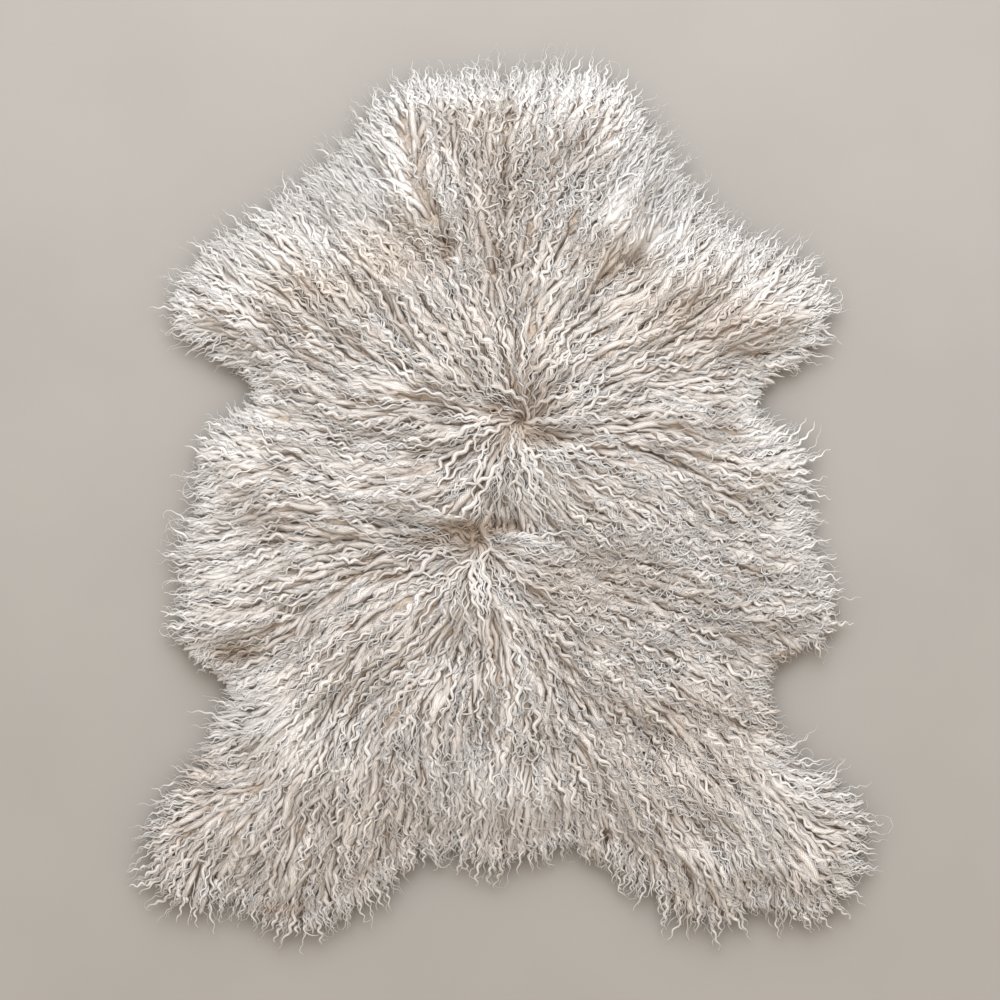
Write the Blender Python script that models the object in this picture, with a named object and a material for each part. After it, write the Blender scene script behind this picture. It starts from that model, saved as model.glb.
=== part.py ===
"""A curly-wool sheepskin rug lying flat on a floor: the tanned hide, and the fleece that grows from it.

Metres, +Z up. Someone who looks down on the wool with the neck end away from them has +Y ahead and +X
to the right. The origin is on the floor, under the middle of the rug's bounding box.
"""

import math

import bmesh
import bpy
from mathutils import Vector, noise
from mathutils.geometry import delaunay_2d_cdt

MM = 0.001
GAP = 0.3 * MM

# The hide: a tanned skin, trimmed a little inside the wool's own edge.
HIDE_THICKNESS = 2.2 * MM
HIDE_INSET = 12.0 * MM

# The fleece: how high the wool stands at its edge and over the body, and how far in it takes to rise.
EDGE_HEIGHT = 18.0 * MM
BODY_HEIGHT = 46.0 * MM
RISE = 70.0 * MM
# Its surface is shaped at points this far apart, and at least this far from the edge.
POINT_SPACING = 16.2 * MM
EDGE_MARGIN = 10.0 * MM
# Edges of the surface that turn by more than this stay sharp.
SHARP_ANGLE = math.radians(50.0)

# Lumps of the wool's surface: (name, distance between lumps, height, how far they are drawn out).
LUMPS = (
    ("swells", 110.0 * MM, 9.0 * MM, 0.3),
    ("tufts", 46.0 * MM, 20.0 * MM, 0.6),
    ("locks", 25.0 * MM, 8.0 * MM, 0.8),
)
# Lumps aren't drawn out at the whorls, and fully so from this far away.
WHORL_CALM = 40.0 * MM

# Locks that hang over the edge and lie on the floor. A lock's root takes this share of the pitch between
# two locks, and its own stretch of the edge is this long.
EDGE_LOCKS = 149
LOCK_SHARE = 0.74
LOCK_STRETCH = 18.0 * MM
LOCK_STEPS = 4
LOCK_LENGTH = (20.0 * MM, 42.0 * MM)
LEAST_LOCK = 8.0 * MM
LOCK_CLEARANCE = 1.5 * MM
# The width and height at the tip, how fast a lock narrows and drops, and its crest's share of its width.
LOCK_TIP = (2.6 * MM, 3.0 * MM)
LOCK_TAPER = 1.3
LOCK_DROP = 0.8
LOCK_CREST = 0.6
# The side-to-side waves of a lock, and how far each lock's waves are ahead of the last one's.
LOCK_WAVE = 2.4 * MM
LOCK_WAVES = 1.25
WAVE_AHEAD = 0.37
# How far a lock leans from straight out towards the way the wool lies, and the shares of its reach that
# are tried until it keeps clear of its neighbours.
LOCK_LEANS = (0.5, 0.25, 0.0)
LOCK_SHARES = (1.0, 0.85, 0.7, 0.55, 0.4, 0.25, 0.0)

# The edge of the wool's mass, clockwise from the neck, in millimetres right of and ahead of the middle.
EDGE = {
    "neck": [(-108, 402), (-57, 411), (55, 418), (112, 402)],
    "right shoulder": [(138, 362), (197, 283), (230, 252)],
    "right foreleg": [(268, 243), (301, 217), (313, 184), (295, 158)],
    "right armpit": [(243, 112)],
    "right flank": [(252, 70), (290, 42), (288, -20), (316, -112), (298, -136)],
    "right groin": [(262, -154), (253, -200)],
    "right hind leg": [(268, -250), (338, -308), (347, -340), (323, -397), (291, -406)],
    "right hock": [(258, -393)],
    "right thigh": [(212, -413), (183, -401), (125, -361)],
    "rump": [(60, -333), (13, -350), (-22, -350), (-68, -335)],
    "left thigh": [(-132, -380), (-199, -418), (-235, -406)],
    "left hock": [(-280, -385)],
    "left hind leg": [(-317, -396), (-341, -368), (-345, -334), (-324, -297), (-288, -270)],
    "left groin": [(-284, -233), (-268, -187)],
    "left flank": [(-318, -140), (-306, -101), (-318, -60), (-293, 10), (-298, 50)],
    "left armpit": [(-241, 105)],
    "left foreleg": [(-290, 158), (-322, 188), (-293, 242)],
    "left shoulder": [(-245, 270), (-149, 354)],
}

# The two whorls that the wool turns away from; it lies away from the line between them.
FORE_WHORL = Vector((13.0, 82.0)) * MM
HIND_WHORL = Vector((-42.0, -62.0)) * MM

# Where the wool parts: (name, one end, other end, half width, depth), in millimetres as for the edge.
PARTINGS = (
    ("fore whorl", (8, 84), (34, 70), 20, 13),
    ("hind whorl", (-62, -60), (-22, -38), 20, 17),
    ("crease left of the hind whorl", (-140, -66), (-62, -62), 11, 8),
    ("crease right of the whorls", (-22, -30), (150, -100), 15, 7),
    ("neck line", (0, 360), (-2, 190), 22, 6),
    ("left shoulder parting", (-58, 255), (-108, 338), 12, 10),
    ("right shoulder parting", (118, 232), (142, 262), 15, 9),
)


def smooth_step(t):
    """0 to 1 as t goes from 0 to 1, level at both ends."""
    t = min(max(t, 0.0), 1.0)
    return t * t * (3.0 - 2.0 * t)


def spline_point(a, b, c, d, t):
    """A point between b and c on the Catmull-Rom curve through four points."""
    slope_b = (c - a) / 2.0
    slope_c = (d - b) / 2.0
    across = c - b
    return (
        b
        + slope_b * t
        + (across * 3.0 - slope_b * 2.0 - slope_c) * t**2
        + (slope_b + slope_c - across * 2.0) * t**3
    )


def edge_curve(steps=24):
    """The closed edge of the wool as a fine polyline, anticlockwise."""
    corners = [Vector(p) * MM for stretch in EDGE.values() for p in stretch]
    corners.reverse()
    count = len(corners)
    line = []
    for i in range(count):
        around = [corners[(i + k) % count] for k in (-1, 0, 1, 2)]
        line += [spline_point(*around, step / steps) for step in range(steps)]
    return line


def spaced(line, distances):
    """Points of the closed line at these distances along it."""
    closed = line + line[:1]
    along = [0.0]
    for a, b in zip(closed, closed[1:]):
        along.append(along[-1] + (b - a).length)
    points, i = [], 0
    for distance in distances:
        while along[i + 1] < distance:
            i += 1
        share = (distance - along[i]) / (along[i + 1] - along[i])
        points.append(closed[i].lerp(closed[i + 1], share))
    return points


def length_of(line):
    return sum((b - a).length for a, b in zip(line, line[1:] + line[:1]))


def outward(ring, i, reach=2):
    """The direction out of an anticlockwise ring at its point i."""
    ahead = ring[(i + reach) % len(ring)] - ring[i - reach]
    return Vector((ahead.y, -ahead.x)).normalized()


def inset(ring, distance):
    """The ring moved inwards."""
    return [p - outward(ring, i) * distance for i, p in enumerate(ring)]


def from_segment(p, a, b):
    """The vector to p from the nearest point of the line from a to b."""
    along = (p - a).dot(b - a) / (b - a).length_squared
    return p - a.lerp(b, min(max(along, 0.0), 1.0))


def wool_lie(p):
    """The direction in which the wool lies at p: away from the line between the whorls."""
    return from_segment(p, FORE_WHORL, HIND_WHORL).normalized()


def lump_height(p):
    """How far the swells and tufts raise the wool at p, each drawn out along the way the wool lies."""
    total = 0.0
    for _, pitch, height, drawn_out in LUMPS:
        calm = smooth_step(from_segment(p, FORE_WHORL, HIND_WHORL).length / WHORL_CALM)
        reach = wool_lie(p) * pitch * drawn_out * calm
        places = [(p + reach * share) / pitch for share in (-1.0, -0.5, 0.0, 0.5, 1.0)]
        total += height * sum(noise.noise(Vector((q.x, q.y, 0.31))) for q in places) / len(places)
    return total


def parting_depth(p):
    """How far the deepest parting lowers the wool at p."""
    deepest = 0.0
    for _, start, end, half_width, depth in PARTINGS:
        off = from_segment(p, Vector(start) * MM, Vector(end) * MM).length
        deepest = max(deepest, depth * MM * math.exp(-((off / (half_width * MM)) ** 2)))
    return deepest


def wool_height(p, ring):
    """The height of the wool's surface at p, inside the ring of its edge."""
    inside = min((p - q).length for q in ring)
    rise = math.sin(math.pi / 2.0 * min(inside / RISE, 1.0))
    flat = EDGE_HEIGHT + (BODY_HEIGHT - EDGE_HEIGHT) * rise
    return flat + (lump_height(p) - parting_depth(p)) * smooth_step(inside / (RISE / 2.0))


def inner_points(ring):
    """Points in a triangular pattern all over the inside of the ring, clear of its edge."""
    low_x, high_x = min(p.x for p in ring), max(p.x for p in ring)
    low_y, high_y = min(p.y for p in ring), max(p.y for p in ring)
    row_step = POINT_SPACING * math.sqrt(3.0) / 2.0
    points = []
    for row in range(int((high_y - low_y) / row_step) + 1):
        shift = POINT_SPACING / 2.0 * (row % 2)
        for column in range(int((high_x - low_x) / POINT_SPACING) + 1):
            p = Vector((low_x + shift + column * POINT_SPACING, low_y + row * row_step))
            if is_inside(p, ring) and min((p - q).length for q in ring) > EDGE_MARGIN:
                points.append(p)
    return points


def is_inside(p, ring):
    """True if p is inside the closed ring."""
    found = False
    for a, b in zip(ring, ring[1:] + ring[:1]):
        if (a.y > p.y) != (b.y > p.y) and p.x < a.x + (p.y - a.y) * (b.x - a.x) / (b.y - a.y):
            found = not found
    return found


def edge_ring(line):
    """The edge's points, in pairs: the two sides of each lock's root."""
    pitch = length_of(line) / EDGE_LOCKS
    sides = [(i + side) * pitch for i in range(EDGE_LOCKS) for side in (0.0, LOCK_SHARE)]
    return spaced(line, sides)


def lock_reach(i):
    """How far the lock i would reach, alone: uneven along the edge and from one lock to the next."""
    along_edge = noise.noise(Vector((i * 0.29, 3.7, 0.0)))
    one_to_next = noise.noise(Vector((i * 0.83, 0.0, 8.1)))
    share = min(max(0.5 + 0.7 * along_edge + 0.6 * one_to_next, 0.0), 1.0)
    least, most = LOCK_LENGTH
    return least + (most - least) * share


def lock_spine(i, left, right, length, lean):
    """The lock's middle line and width from its root on, as a list of (point, width).

    A lock points out of the edge, and with lean above 0 also along the way the wool lies.
    """
    root = (left + right) / 2.0
    out = Vector(((right - left).y, (left - right).x)).normalized()
    towards = (out * (1.0 - lean) + wool_lie(root) * lean).normalized()
    across = Vector((-towards.y, towards.x))
    root_width = (right - left).length
    phase = 2.0 * math.pi * WAVE_AHEAD * i
    spine = []
    for step in range(LOCK_STEPS + 1):
        t = step / LOCK_STEPS
        sway = math.sin(2.0 * math.pi * LOCK_WAVES * t + phase) - math.sin(phase)
        middle = root + towards * length * t + across * sway * LOCK_WAVE * smooth_step(t)
        spine.append((middle, root_width + (LOCK_TIP[0] - root_width) * t**LOCK_TAPER))
    return spine


def is_clear(spine, others):
    """True if the lock keeps off all the others."""
    for p, width in spine:
        for q, other_width in others:
            if (p - q).length < (width + other_width) / 2.0 + LOCK_CLEARANCE:
                return False
    return True


def lock_spines(ring):
    """The middle line of every lock, as long and as far over as its neighbours leave room for."""
    roots = list(zip(ring[::2], ring[1::2]))
    spines = []
    for i, (left, right) in enumerate(roots):
        here = (left + right) / 2.0
        others = [point for spine in spines for point in spine]
        others += [((a + b) / 2.0, (b - a).length) for a, b in roots[i + 1 :]]
        others += [(p, 0.0) for p in ring if (p - here).length > LOCK_STRETCH]
        for share in LOCK_SHARES:
            length = max(lock_reach(i) * share, LEAST_LOCK)
            tries = [lock_spine(i, left, right, length, lean) for lean in LOCK_LEANS]
            clear = [spine for spine in tries if is_clear(spine[1:], others)]
            if clear:
                break
        spines.append((clear or tries)[0])
    return spines


def lock_sections(spine):
    """The sections of a lock beyond its root, of four points each, its foot on the floor."""
    sections = []
    for step in range(1, len(spine)):
        middle, width = spine[step]
        along = middle - spine[step - 1][0]
        side = Vector((-along.y, along.x)).normalized() * width / 2.0
        height = EDGE_HEIGHT + (LOCK_TIP[1] - EDGE_HEIGHT) * (step / LOCK_STEPS) ** LOCK_DROP
        foot = [(middle - side, 0.0), (middle + side, 0.0)]
        crest = [(middle + side * LOCK_CREST, height), (middle - side * LOCK_CREST, height)]
        sections.append([Vector((p.x, p.y, z)) for p, z in foot + crest])
    return sections


def add_points(mesh, ring, height):
    return [mesh.verts.new((p.x, p.y, height)) for p in ring]


def bridge(mesh, lower, upper):
    """A closed wall between two rings of points."""
    count = len(lower)
    for i in range(count):
        j = (i + 1) % count
        mesh.faces.new((lower[i], lower[j], upper[j], upper[i]))


def fleece_mesh(ring):
    """The fleece as one closed body: a lumpy slab over the hide, with locks along its edge."""
    mesh = bmesh.new()
    foot = add_points(mesh, ring, 0.0)
    crest = add_points(mesh, ring, EDGE_HEIGHT)
    recess = inset(ring, HIDE_INSET - GAP)
    recess_foot = add_points(mesh, recess, 0.0)
    recess_top = add_points(mesh, recess, HIDE_THICKNESS + GAP)
    bridge(mesh, recess_foot, foot)
    bridge(mesh, recess_top, recess_foot)
    mesh.faces.new(reversed(recess_top))

    inner = inner_points(ring)
    top = crest + [mesh.verts.new((p.x, p.y, wool_height(p, ring))) for p in inner]
    border = list(range(len(ring)))
    filled = delaunay_2d_cdt(ring + inner, [], [border], 1, 1e-7)
    own = [sources[0] for sources in filled[3]]
    for corners in filled[2]:
        mesh.faces.new([top[own[corner]] for corner in corners])

    count = len(ring)
    spines = lock_spines(ring)
    for i in range(0, count, 2):
        left, right, after = i, i + 1, (i + 2) % count
        mesh.faces.new((foot[right], foot[after], crest[after], crest[right]))
        add_lock(mesh, (foot[left], foot[right], crest[right], crest[left]), spines[i // 2])
    bmesh.ops.recalc_face_normals(mesh, faces=mesh.faces)
    return mesh


def add_lock(mesh, root, spine):
    """A tapering, wavy lock of four sides, from its root on the fleece's edge to its tip."""
    section = list(root)
    for points in lock_sections(spine):
        following = [mesh.verts.new(p) for p in points]
        bridge(mesh, section, following)
        section = following
    mesh.faces.new(section)


def hide_mesh(ring):
    """The hide: a flat sheet of the skin's outline."""
    mesh = bmesh.new()
    outline = inset(ring, HIDE_INSET)
    foot = add_points(mesh, outline, 0.0)
    top = add_points(mesh, outline, HIDE_THICKNESS)
    bridge(mesh, foot, top)
    mesh.faces.new(reversed(foot))
    mesh.faces.new(top)
    bmesh.ops.recalc_face_normals(mesh, faces=mesh.faces)
    return mesh


def material(name, colour, roughness):
    made = bpy.data.materials.new(name)
    made.use_nodes = True
    shader = made.node_tree.nodes["Principled BSDF"]
    shader.inputs["Base Color"].default_value = (*colour, 1.0)
    shader.inputs["Roughness"].default_value = roughness
    shader.inputs["Metallic"].default_value = 0.0
    return made


def add_piece(name, mesh, finish):
    """An object that holds the mesh."""
    data = bpy.data.meshes.new(name)
    mesh.to_mesh(data)
    mesh.free()
    data.shade_smooth()
    data.set_sharp_from_angle(angle=SHARP_ANGLE)
    data.materials.append(finish)
    piece = bpy.data.objects.new(name, data)
    bpy.context.scene.collection.objects.link(piece)
    return piece


def centre(pieces):
    """Moves the pieces so that the origin is under the middle of their bounding box."""
    points = [v.co for piece in pieces for v in piece.data.vertices]
    middle = [(min(p[k] for p in points) + max(p[k] for p in points)) / 2.0 for k in (0, 1)]
    for piece in pieces:
        for vertex in piece.data.vertices:
            vertex.co.x -= middle[0]
            vertex.co.y -= middle[1]


def main():
    for old in list(bpy.data.objects):
        bpy.data.objects.remove(old, do_unlink=True)
    wool = material("undyed curly wool", (0.72, 0.66, 0.58), 0.9)
    suede = material("tanned hide, flesh side", (0.62, 0.50, 0.37), 0.85)
    ring = edge_ring(edge_curve())
    fleece = add_piece("fleece", fleece_mesh(ring), wool)
    hide = add_piece("hide", hide_mesh(ring), suede)
    centre([fleece, hide])


main()
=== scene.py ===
"""The looks of a natural sheepskin rug: a whole pelt lying flat, with long curly cream wool.

Metres, +Z up, +Y towards the neck. A tanned hide lies under a lumpy under-wool. Over that lie thousands of
separate closed locks, combed away from two whorls: flat locks that cover the under-wool, thick ropes, fine
strands that follow them, ringlets, and the loose and hanging locks of the edge.
"""

import math
from typing import NamedTuple

import bmesh
import bpy
import numpy as np
from bpy.props import FloatProperty, FloatVectorProperty, PointerProperty
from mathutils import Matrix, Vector
from mathutils.bvhtree import BVHTree


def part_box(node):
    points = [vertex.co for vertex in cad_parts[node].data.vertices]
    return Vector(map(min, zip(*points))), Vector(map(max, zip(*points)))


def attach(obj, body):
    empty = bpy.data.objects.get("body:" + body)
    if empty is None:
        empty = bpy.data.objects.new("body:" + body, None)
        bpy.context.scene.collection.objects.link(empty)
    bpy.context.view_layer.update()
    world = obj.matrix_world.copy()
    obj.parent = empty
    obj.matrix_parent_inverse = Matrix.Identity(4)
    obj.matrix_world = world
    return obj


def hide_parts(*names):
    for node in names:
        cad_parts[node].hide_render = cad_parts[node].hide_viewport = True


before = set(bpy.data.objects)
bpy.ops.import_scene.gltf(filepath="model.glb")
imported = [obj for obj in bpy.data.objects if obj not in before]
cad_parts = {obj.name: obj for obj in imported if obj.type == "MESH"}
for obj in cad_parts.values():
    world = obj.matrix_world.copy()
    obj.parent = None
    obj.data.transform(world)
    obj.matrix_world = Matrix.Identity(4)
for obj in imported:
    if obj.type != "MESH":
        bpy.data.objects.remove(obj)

bl_info = {
    "name": "Curly sheepskin rug",
    "version": (1, 0, 0),
    "blender": (4, 5, 0),
    "location": "3D View > Sidebar > Sheepskin",
    "description": "Dresses a packed sheepskin with its tanned hide and its curly wool",
    "category": "Add Mesh",
}

MM = 0.001
UP = np.array((0.0, 0.0, 1.0))
BODY = "root"
QUICK_SHARE = 1.0

# The wool's own edge lies this far outside the hide's.
HIDE_INSET = 12.0 * MM
# Fields over the pelt are kept at points this far apart, and past the box by the margin.
FIELD_PITCH = 4.0 * MM
FIELD_MARGIN = 40.0 * MM
# Outside its edge the wool falls to the floor: the height at the edge, at the tips, and how fast it falls.
EDGE_HEIGHT = 21.0 * MM
TIP_HEIGHT = 7.0 * MM
FALL = 28.0 * MM
FLOOR_GAP = 0.5 * MM
# The rim starts this far outside the wool's edge and is this wide. Behind, it lies in some shade, and it
# turns from shaded to white over this length of the pelt, from this place on.
RIM_START = 10.0 * MM
RIM_WIDTH = 40.0 * MM
RIM_SHADE = 0.25
HIND_END = 0.35
PELT_LENGTH = 0.8
# The wool turns out of its edge from this far inside it, and reaches no further than this past a notch.
EDGE_TURN = 55.0 * MM
NOTCH_REACH = 3.0 * MM

# Tufts of wool: (distance between them, height, seed), drawn out backwards along the lie by these steps.
# They and the creases die out over this width of the edge. Low places are painted darker, as painted shade:
# how much at the middle height, and how much less for each share of the tufts' height.
TUFTS = ((28.0, 12.0, 41), (13.0, 5.0, 42))
TUFT_STEPS = 9
TUFT_STRIDE = 6.0 * MM
CREASE_DEPTH = 8.0 * MM
CALM_EDGE = 30.0 * MM
LOW_SHADE, HIGH_LESS = 0.5, 0.9

# The under-wool: the grid it is made from, how far it stands past the wool's edge, how ragged its edge is
# and how lumpy its top (distance and height), and the width and the least share of its height over which it
# thins out at its edge. It lies this far over the hide and is at least this thick.
MAT_PITCH = 6.0 * MM
MAT_OVERHANG = 3.0 * MM
MAT_RAGGED = (11.0 * MM, 5.0 * MM)
MAT_LUMPS = (9.0 * MM, 1.3 * MM)
MAT_SLOPE = 24.0 * MM
MAT_EDGE_SHARE = 0.03
MAT_GAP = 0.4 * MM
MAT_LEAST = 1.0 * MM
# It lies this much closer to the surface of white wool, as a share.
MAT_WHITE = 0.45
# Its map's inner band ends at this radius, and a band's strands are true to size at this multiple of its
# inner radius.
INNER_BAND = 45.0 * MM
BAND_MIDDLE = 1.45

# Length of a wave of the wool, in millimetres.
CRIMP = 12.8
# The strands of a clump share a phase, which drifts over a patch (size, how many waves) and differs from
# clump to clump, as do the clumps' turn, in radians, and their lift, in millimetres.
PHASE_PATCH = (30.0 * MM, 1.3)
CLUMP_PHASE = 0.5
CLUMP_TURN = 0.13
CLUMP_LIFT = (-1.2, 1.8)
# A wave of a lock takes this many steps, or twice as many where a lock is cut so short that its steps are
# under the least stride. The locks of a pelt have waves between these shares of their kind's length.
STEPS_A_WAVE = 5
LEAST_STRIDE = 1.8 * MM
PITCH_RANGE = (0.84, 1.2)
LEAST_LENGTH = 12.0 * MM
WALK_STRIDE = 4.0 * MM
# Locks of a kind differ in length and in swing by these shares. A lock strays from its line by an angle of
# this spread, in radians, with a wave of this many radians from root to tip. A hook turns it by an angle in
# the range at each step, from a place in the range on.
LENGTH_SPREAD = (0.97, 1.03)
SWING_SPREAD = (0.75, 1.25)
WANDER = 0.14
WANDER_WAVE = 2.2 * math.pi
HOOK_TURN = (0.45, 0.85)
HOOK_START = (0.62, 0.85)
# Waves have this strength and are stronger by this share where the wool is curly. At the root they have
# this share of it, and all of it from this place on. How far they are out of step, in the plain wool and
# how much more in the curly wool, as shares of what the kind says.
WAVE_STRENGTH = 0.9
CURLY_STRONGER = 0.5
ROOT_WAVES, ROOT_END = 0.3, 0.35
PLAIN_LOOSE, CURLY_LOOSE = 0.4, 1.4
# A lock has turned back in across a notch when less than this much of its direction points outwards.
LEAST_OUTWARDS = 0.15
# Along a lock its phase, the strength of its waves and its line sway: (length of a sway in millimetres, how
# much).
PHASE_SWAY = (41.0, 0.5)
STRENGTH_SWAY = (33.0, 0.35)
LINE_SWAY = (58.0, 2.0 * MM)
# The white wool has thinner locks with flatter sections, which lie closer to the under-wool and wave less,
# by these shares.
WHITE_THINNER = 0.58
WHITE_FLATTER = 0.85
WHITE_SECTION = 0.7 * WHITE_FLATTER
WHITE_CALMER = 0.45

# A lock's profile is smoothed over this share of its length. Its crest leans this much to and fro with the
# wave, its middle line has this share of the height under it, and its point is this many widths long.
PROFILE_BLEND = 0.12
LOCK_LEAN = 0.18
LOCK_FOOT = 0.4
LOCK_POINT = 0.9
# The unit of the pattern maps. On the flat map each lock has a cell, four times as long as wide, with this
# border, and its body takes these shares of the cell's length, between the foot's and the point's.
MAP_UNIT = 10.0 * MM
CELL_LENGTH = 4.0
CELL_BORDER = 0.08
CELL_BODY = (0.06, 0.93)
CELL_FOOT = (0.04, 0.01)
CELL_POINT = 0.99
# Two neighbouring locks read their noise this far apart.
LOCK_STEP = 0.731

# Roots stray from an even pattern by this share of their spacing. Ropes start this far outside the whorls'
# rings, in millimetres, and strands start up to this far along from the root that they follow.
ROOT_STRAY = 0.34
WHORL_GAP = 4.0
ROOT_SHIFT = 8.0
# How far a strand starts to the side of its rope's root, in millimetres: a range at the whorls, a distance
# and its spread on the body, and the most to either side for ringlets and flyaway hairs.
WHORL_BESIDE = (0.6, 2.0)
STRAND_BESIDE = 2.0
BESIDE_SPREAD = (0.5, 1.6)
RINGLET_BESIDE = 7.0
FLYAWAY_BESIDE = 6.0
# The share of the ropes with ringlets where the wool is curliest, of the others that have a second strand,
# of the curled ones that have a third ringlet, and of all that have a flyaway hair.
RINGED = 0.9
SECOND_STRANDS = 0.4
THIRD_RINGLETS = 0.05
FLYAWAYS = 0.1
# The locks of the edge start this far outside it. Each row: (kind, how far apart the locks grow, how deep
# inside the edge, how many strands each has, and how far to its side they start, in millimetres).
EDGE_START = -4.0 * MM
EDGE_ROWS = (
    ("edge", 13.0 * MM, 25.0 * MM, 2, 5.5),
    ("hanging", 9.0 * MM, 6.0 * MM, 1, 4.0),
)
# How bright the locks of a kind are, from the darkest to the lightest.
LOCK_TONES = (0.4, 1.0)
WHORL_TONES = (0.3, 0.9)
STRAND_TONES = (0.1, 0.75)

# The camera looks straight down from this height, at this middle of the picture, which is 1 m wide at the
# height of the wool.
CAMERA_HEIGHT = 2.4
PICTURE_MIDDLE = (-0.0085, 0.0015)
WOOL_HEIGHT = 0.02
SENSOR = 36.0
# Warm light comes from all round, and cooler light from a wide lamp ahead of the neck.
ROOM_COLOUR = (1.0, 0.89, 0.77, 1.0)
LAMP_COLOUR = (0.93, 0.97, 1.0)
LAMP_PLACE = (0.05, 1.75, 1.8)
LAMP_WIDTH = 2.6

# The two whorls that the wool turns away from, in millimetres right of and ahead of the middle. The wool
# of one meets that of the other along a line that leaves this point at this slope.
FORE_WHORL = (12.5, 79.5)
HIND_WHORL = (-34.5, -41.5)
MEETING = (-8.0, -30.0)
MEETING_SLOPE = -0.18
# They blend over a band of this width, which grows by this share of the distance from the point.
MEETING_BAND = (7.0 * MM, 0.4)

# The wool turns by these angles at the middle of each whorl, and less further off.
FORE_SWIRL = 0.7
HIND_SWIRL = -0.6
SWIRL_REACH = 24.0 * MM
# All over, the lie strays by these angles over these distances: (angle, distance, seed). Within this reach
# of a whorl it strays less, down to this share. At the edge it is pulled outwards this strongly.
STRAYS = ((0.3, 90.0 * MM, 11), (0.16, 40.0 * MM, 12))
STRAY_REACH = 60.0 * MM
LEAST_STRAY = 0.25
EDGE_PULL = 0.5

# Round each whorl, rings of roots of thick ropes: (radius, count). The roots stray by this share of the
# angle between two, and by this share of a step outwards, which is this long and grows with the radius.
RING_STRAY, SPOKE_STRAY = 0.3, 0.2
SPOKE_STEP, SPOKE_GROWTH = 4.0, 0.3
WHORL_RINGS = (
    (FORE_WHORL, ((4, 9), (13, 13), (23, 18), (33, 24))),
    (HIND_WHORL, ((5, 8), (13, 12), (22, 16))),
)

# How fast a named part fades from its middle, and how flat it is there.
PART_FADE = 0.8
PART_POWER = 1.5

# Where the wool turns aside from a line: (name, one end, other end, reach, how far it turns).
PARTINGS = (
    ("left shoulder parting", (-61, 251), (-108, 372), 24, 0.45),
    ("right shoulder parting", (121, 236), (142, 262), 22, 0.4),
    ("neck line", (-4, 230), (-6, 400), 60, 0.18),
)

# Parts of the wool with a colour of their own: (name, middle, half width and half length, strength).
BEIGE_PARTS = (
    ("neck line", (-8, 300), (30, 108), 0.5),
    ("crown of the neck", (-30, 376), (46, 24), 0.6),
    ("left of the neck", (-118, 250), (44, 34), 0.95),
    ("left shoulder", (-195, 212), (60, 24), 0.7),
    ("right shoulder", (190, 186), (74, 32), 0.8),
    ("right hollow", (112, 240), (34, 20), 0.9),
    ("behind the whorls", (84, -76), (62, 32), 0.6),
    ("over the fore whorl", (0, 150), (60, 50), 0.35),
    ("left thigh", (-150, -330), (70, 50), 0.35),
    ("right hip", (180, -240), (90, 60), 0.35),
)
WHITE_PARTS = (
    ("neck's left slope", (-165, 320), (60, 80), 0.9),
    ("neck's right slope", (150, 320), (56, 80), 0.9),
    ("neck's front", (0, 430), (150, 28), 1.0),
    ("left foreleg", (-280, 235), (60, 40), 0.65),
    ("right foreleg", (275, 230), (60, 40), 0.6),
    ("left flank", (-300, 0), (40, 110), 0.6),
    ("right flank", (300, 10), (45, 80), 0.6),
    ("left hip", (-265, -215), (60, 40), 0.75),
    ("right hip", (300, -270), (50, 45), 0.5),
    ("fan below the fore whorl", (36, 20), (30, 40), 0.4),
    ("below the hind whorl", (-26, -90), (34, 40), 0.25),
    ("rump", (-8, -300), (60, 40), 0.4),
)
# Where the wool lies lower and is painted darker, as painted shade: creases, hollows, armpits, notches and
# the line of the back.
SUNK_AND_PAINTED_SHADE_PARTS = (
    ("pit of the fore whorl", (12, 79), (7, 7), 1.0),
    ("pit of the hind whorl", (-34, -41), (8, 6), 1.0),
    ("right of the fore whorl", (36, 63), (22, 9), 0.9),
    ("left of the fore whorl", (-14, 92), (12, 8), 0.5),
    ("right hollow", (127, 240), (17, 11), 0.85),
    ("left of the right hollow", (98, 228), (12, 8), 0.5),
    ("crease ahead of the hind whorl", (-24, -25), (42, 8), 0.9),
    ("crease left of the hind whorl", (-92, -40), (34, 7), 0.5),
    ("left of the back", (-133, -74), (34, 9), 0.6),
    ("back line behind the hind whorl", (-14, -136), (7, 34), 0.45),
    ("back line of the neck", (-4, 302), (7, 62), 0.2),
    ("foot of the left parting", (-62, 252), (9, 20), 0.9),
    ("left armpit", (-284, 128), (30, 14), 0.9),
    ("right armpit", (292, 124), (30, 15), 0.9),
    ("left hip notch", (-276, -152), (30, 12), 0.6),
    ("right hip notch", (290, -158), (30, 12), 0.8),
    ("behind the whorls", (60, -60), (50, 14), 0.5),
    ("middle of the rump", (20, -376), (80, 12), 0.5),
    ("left hock", (-255, -408), (80, 10), 0.5),
    ("right hock", (250, -412), (70, 10), 0.5),
)
# Where the edge turns in, and the locks don't reach across.
NOTCHES = (
    ("left armpit", (-292, 116), (44, 26), 1.0),
    ("right armpit", (284, 108), (44, 26), 1.0),
    ("left waist", (-316, 62), (24, 22), 0.5),
    ("left hip", (-300, -176), (44, 26), 1.0),
    ("right hip", (296, -180), (44, 30), 1.0),
    ("rump, left", (-92, -392), (34, 30), 0.8),
    ("rump, right", (66, -388), (34, 30), 0.8),
)
# Where the locks end in rings.
RING_PARTS = (
    ("behind the whorls", (110, -90), (110, 120), 1.0),
    ("right flank", (190, -60), (90, 110), 0.8),
    ("rump", (40, -240), (160, 90), 0.6),
    ("neck line", (-6, 290), (90, 110), 1.0),
    ("left of the neck", (-130, 245), (60, 50), 0.7),
    ("left thigh", (-120, -300), (110, 60), 0.5),
)


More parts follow.
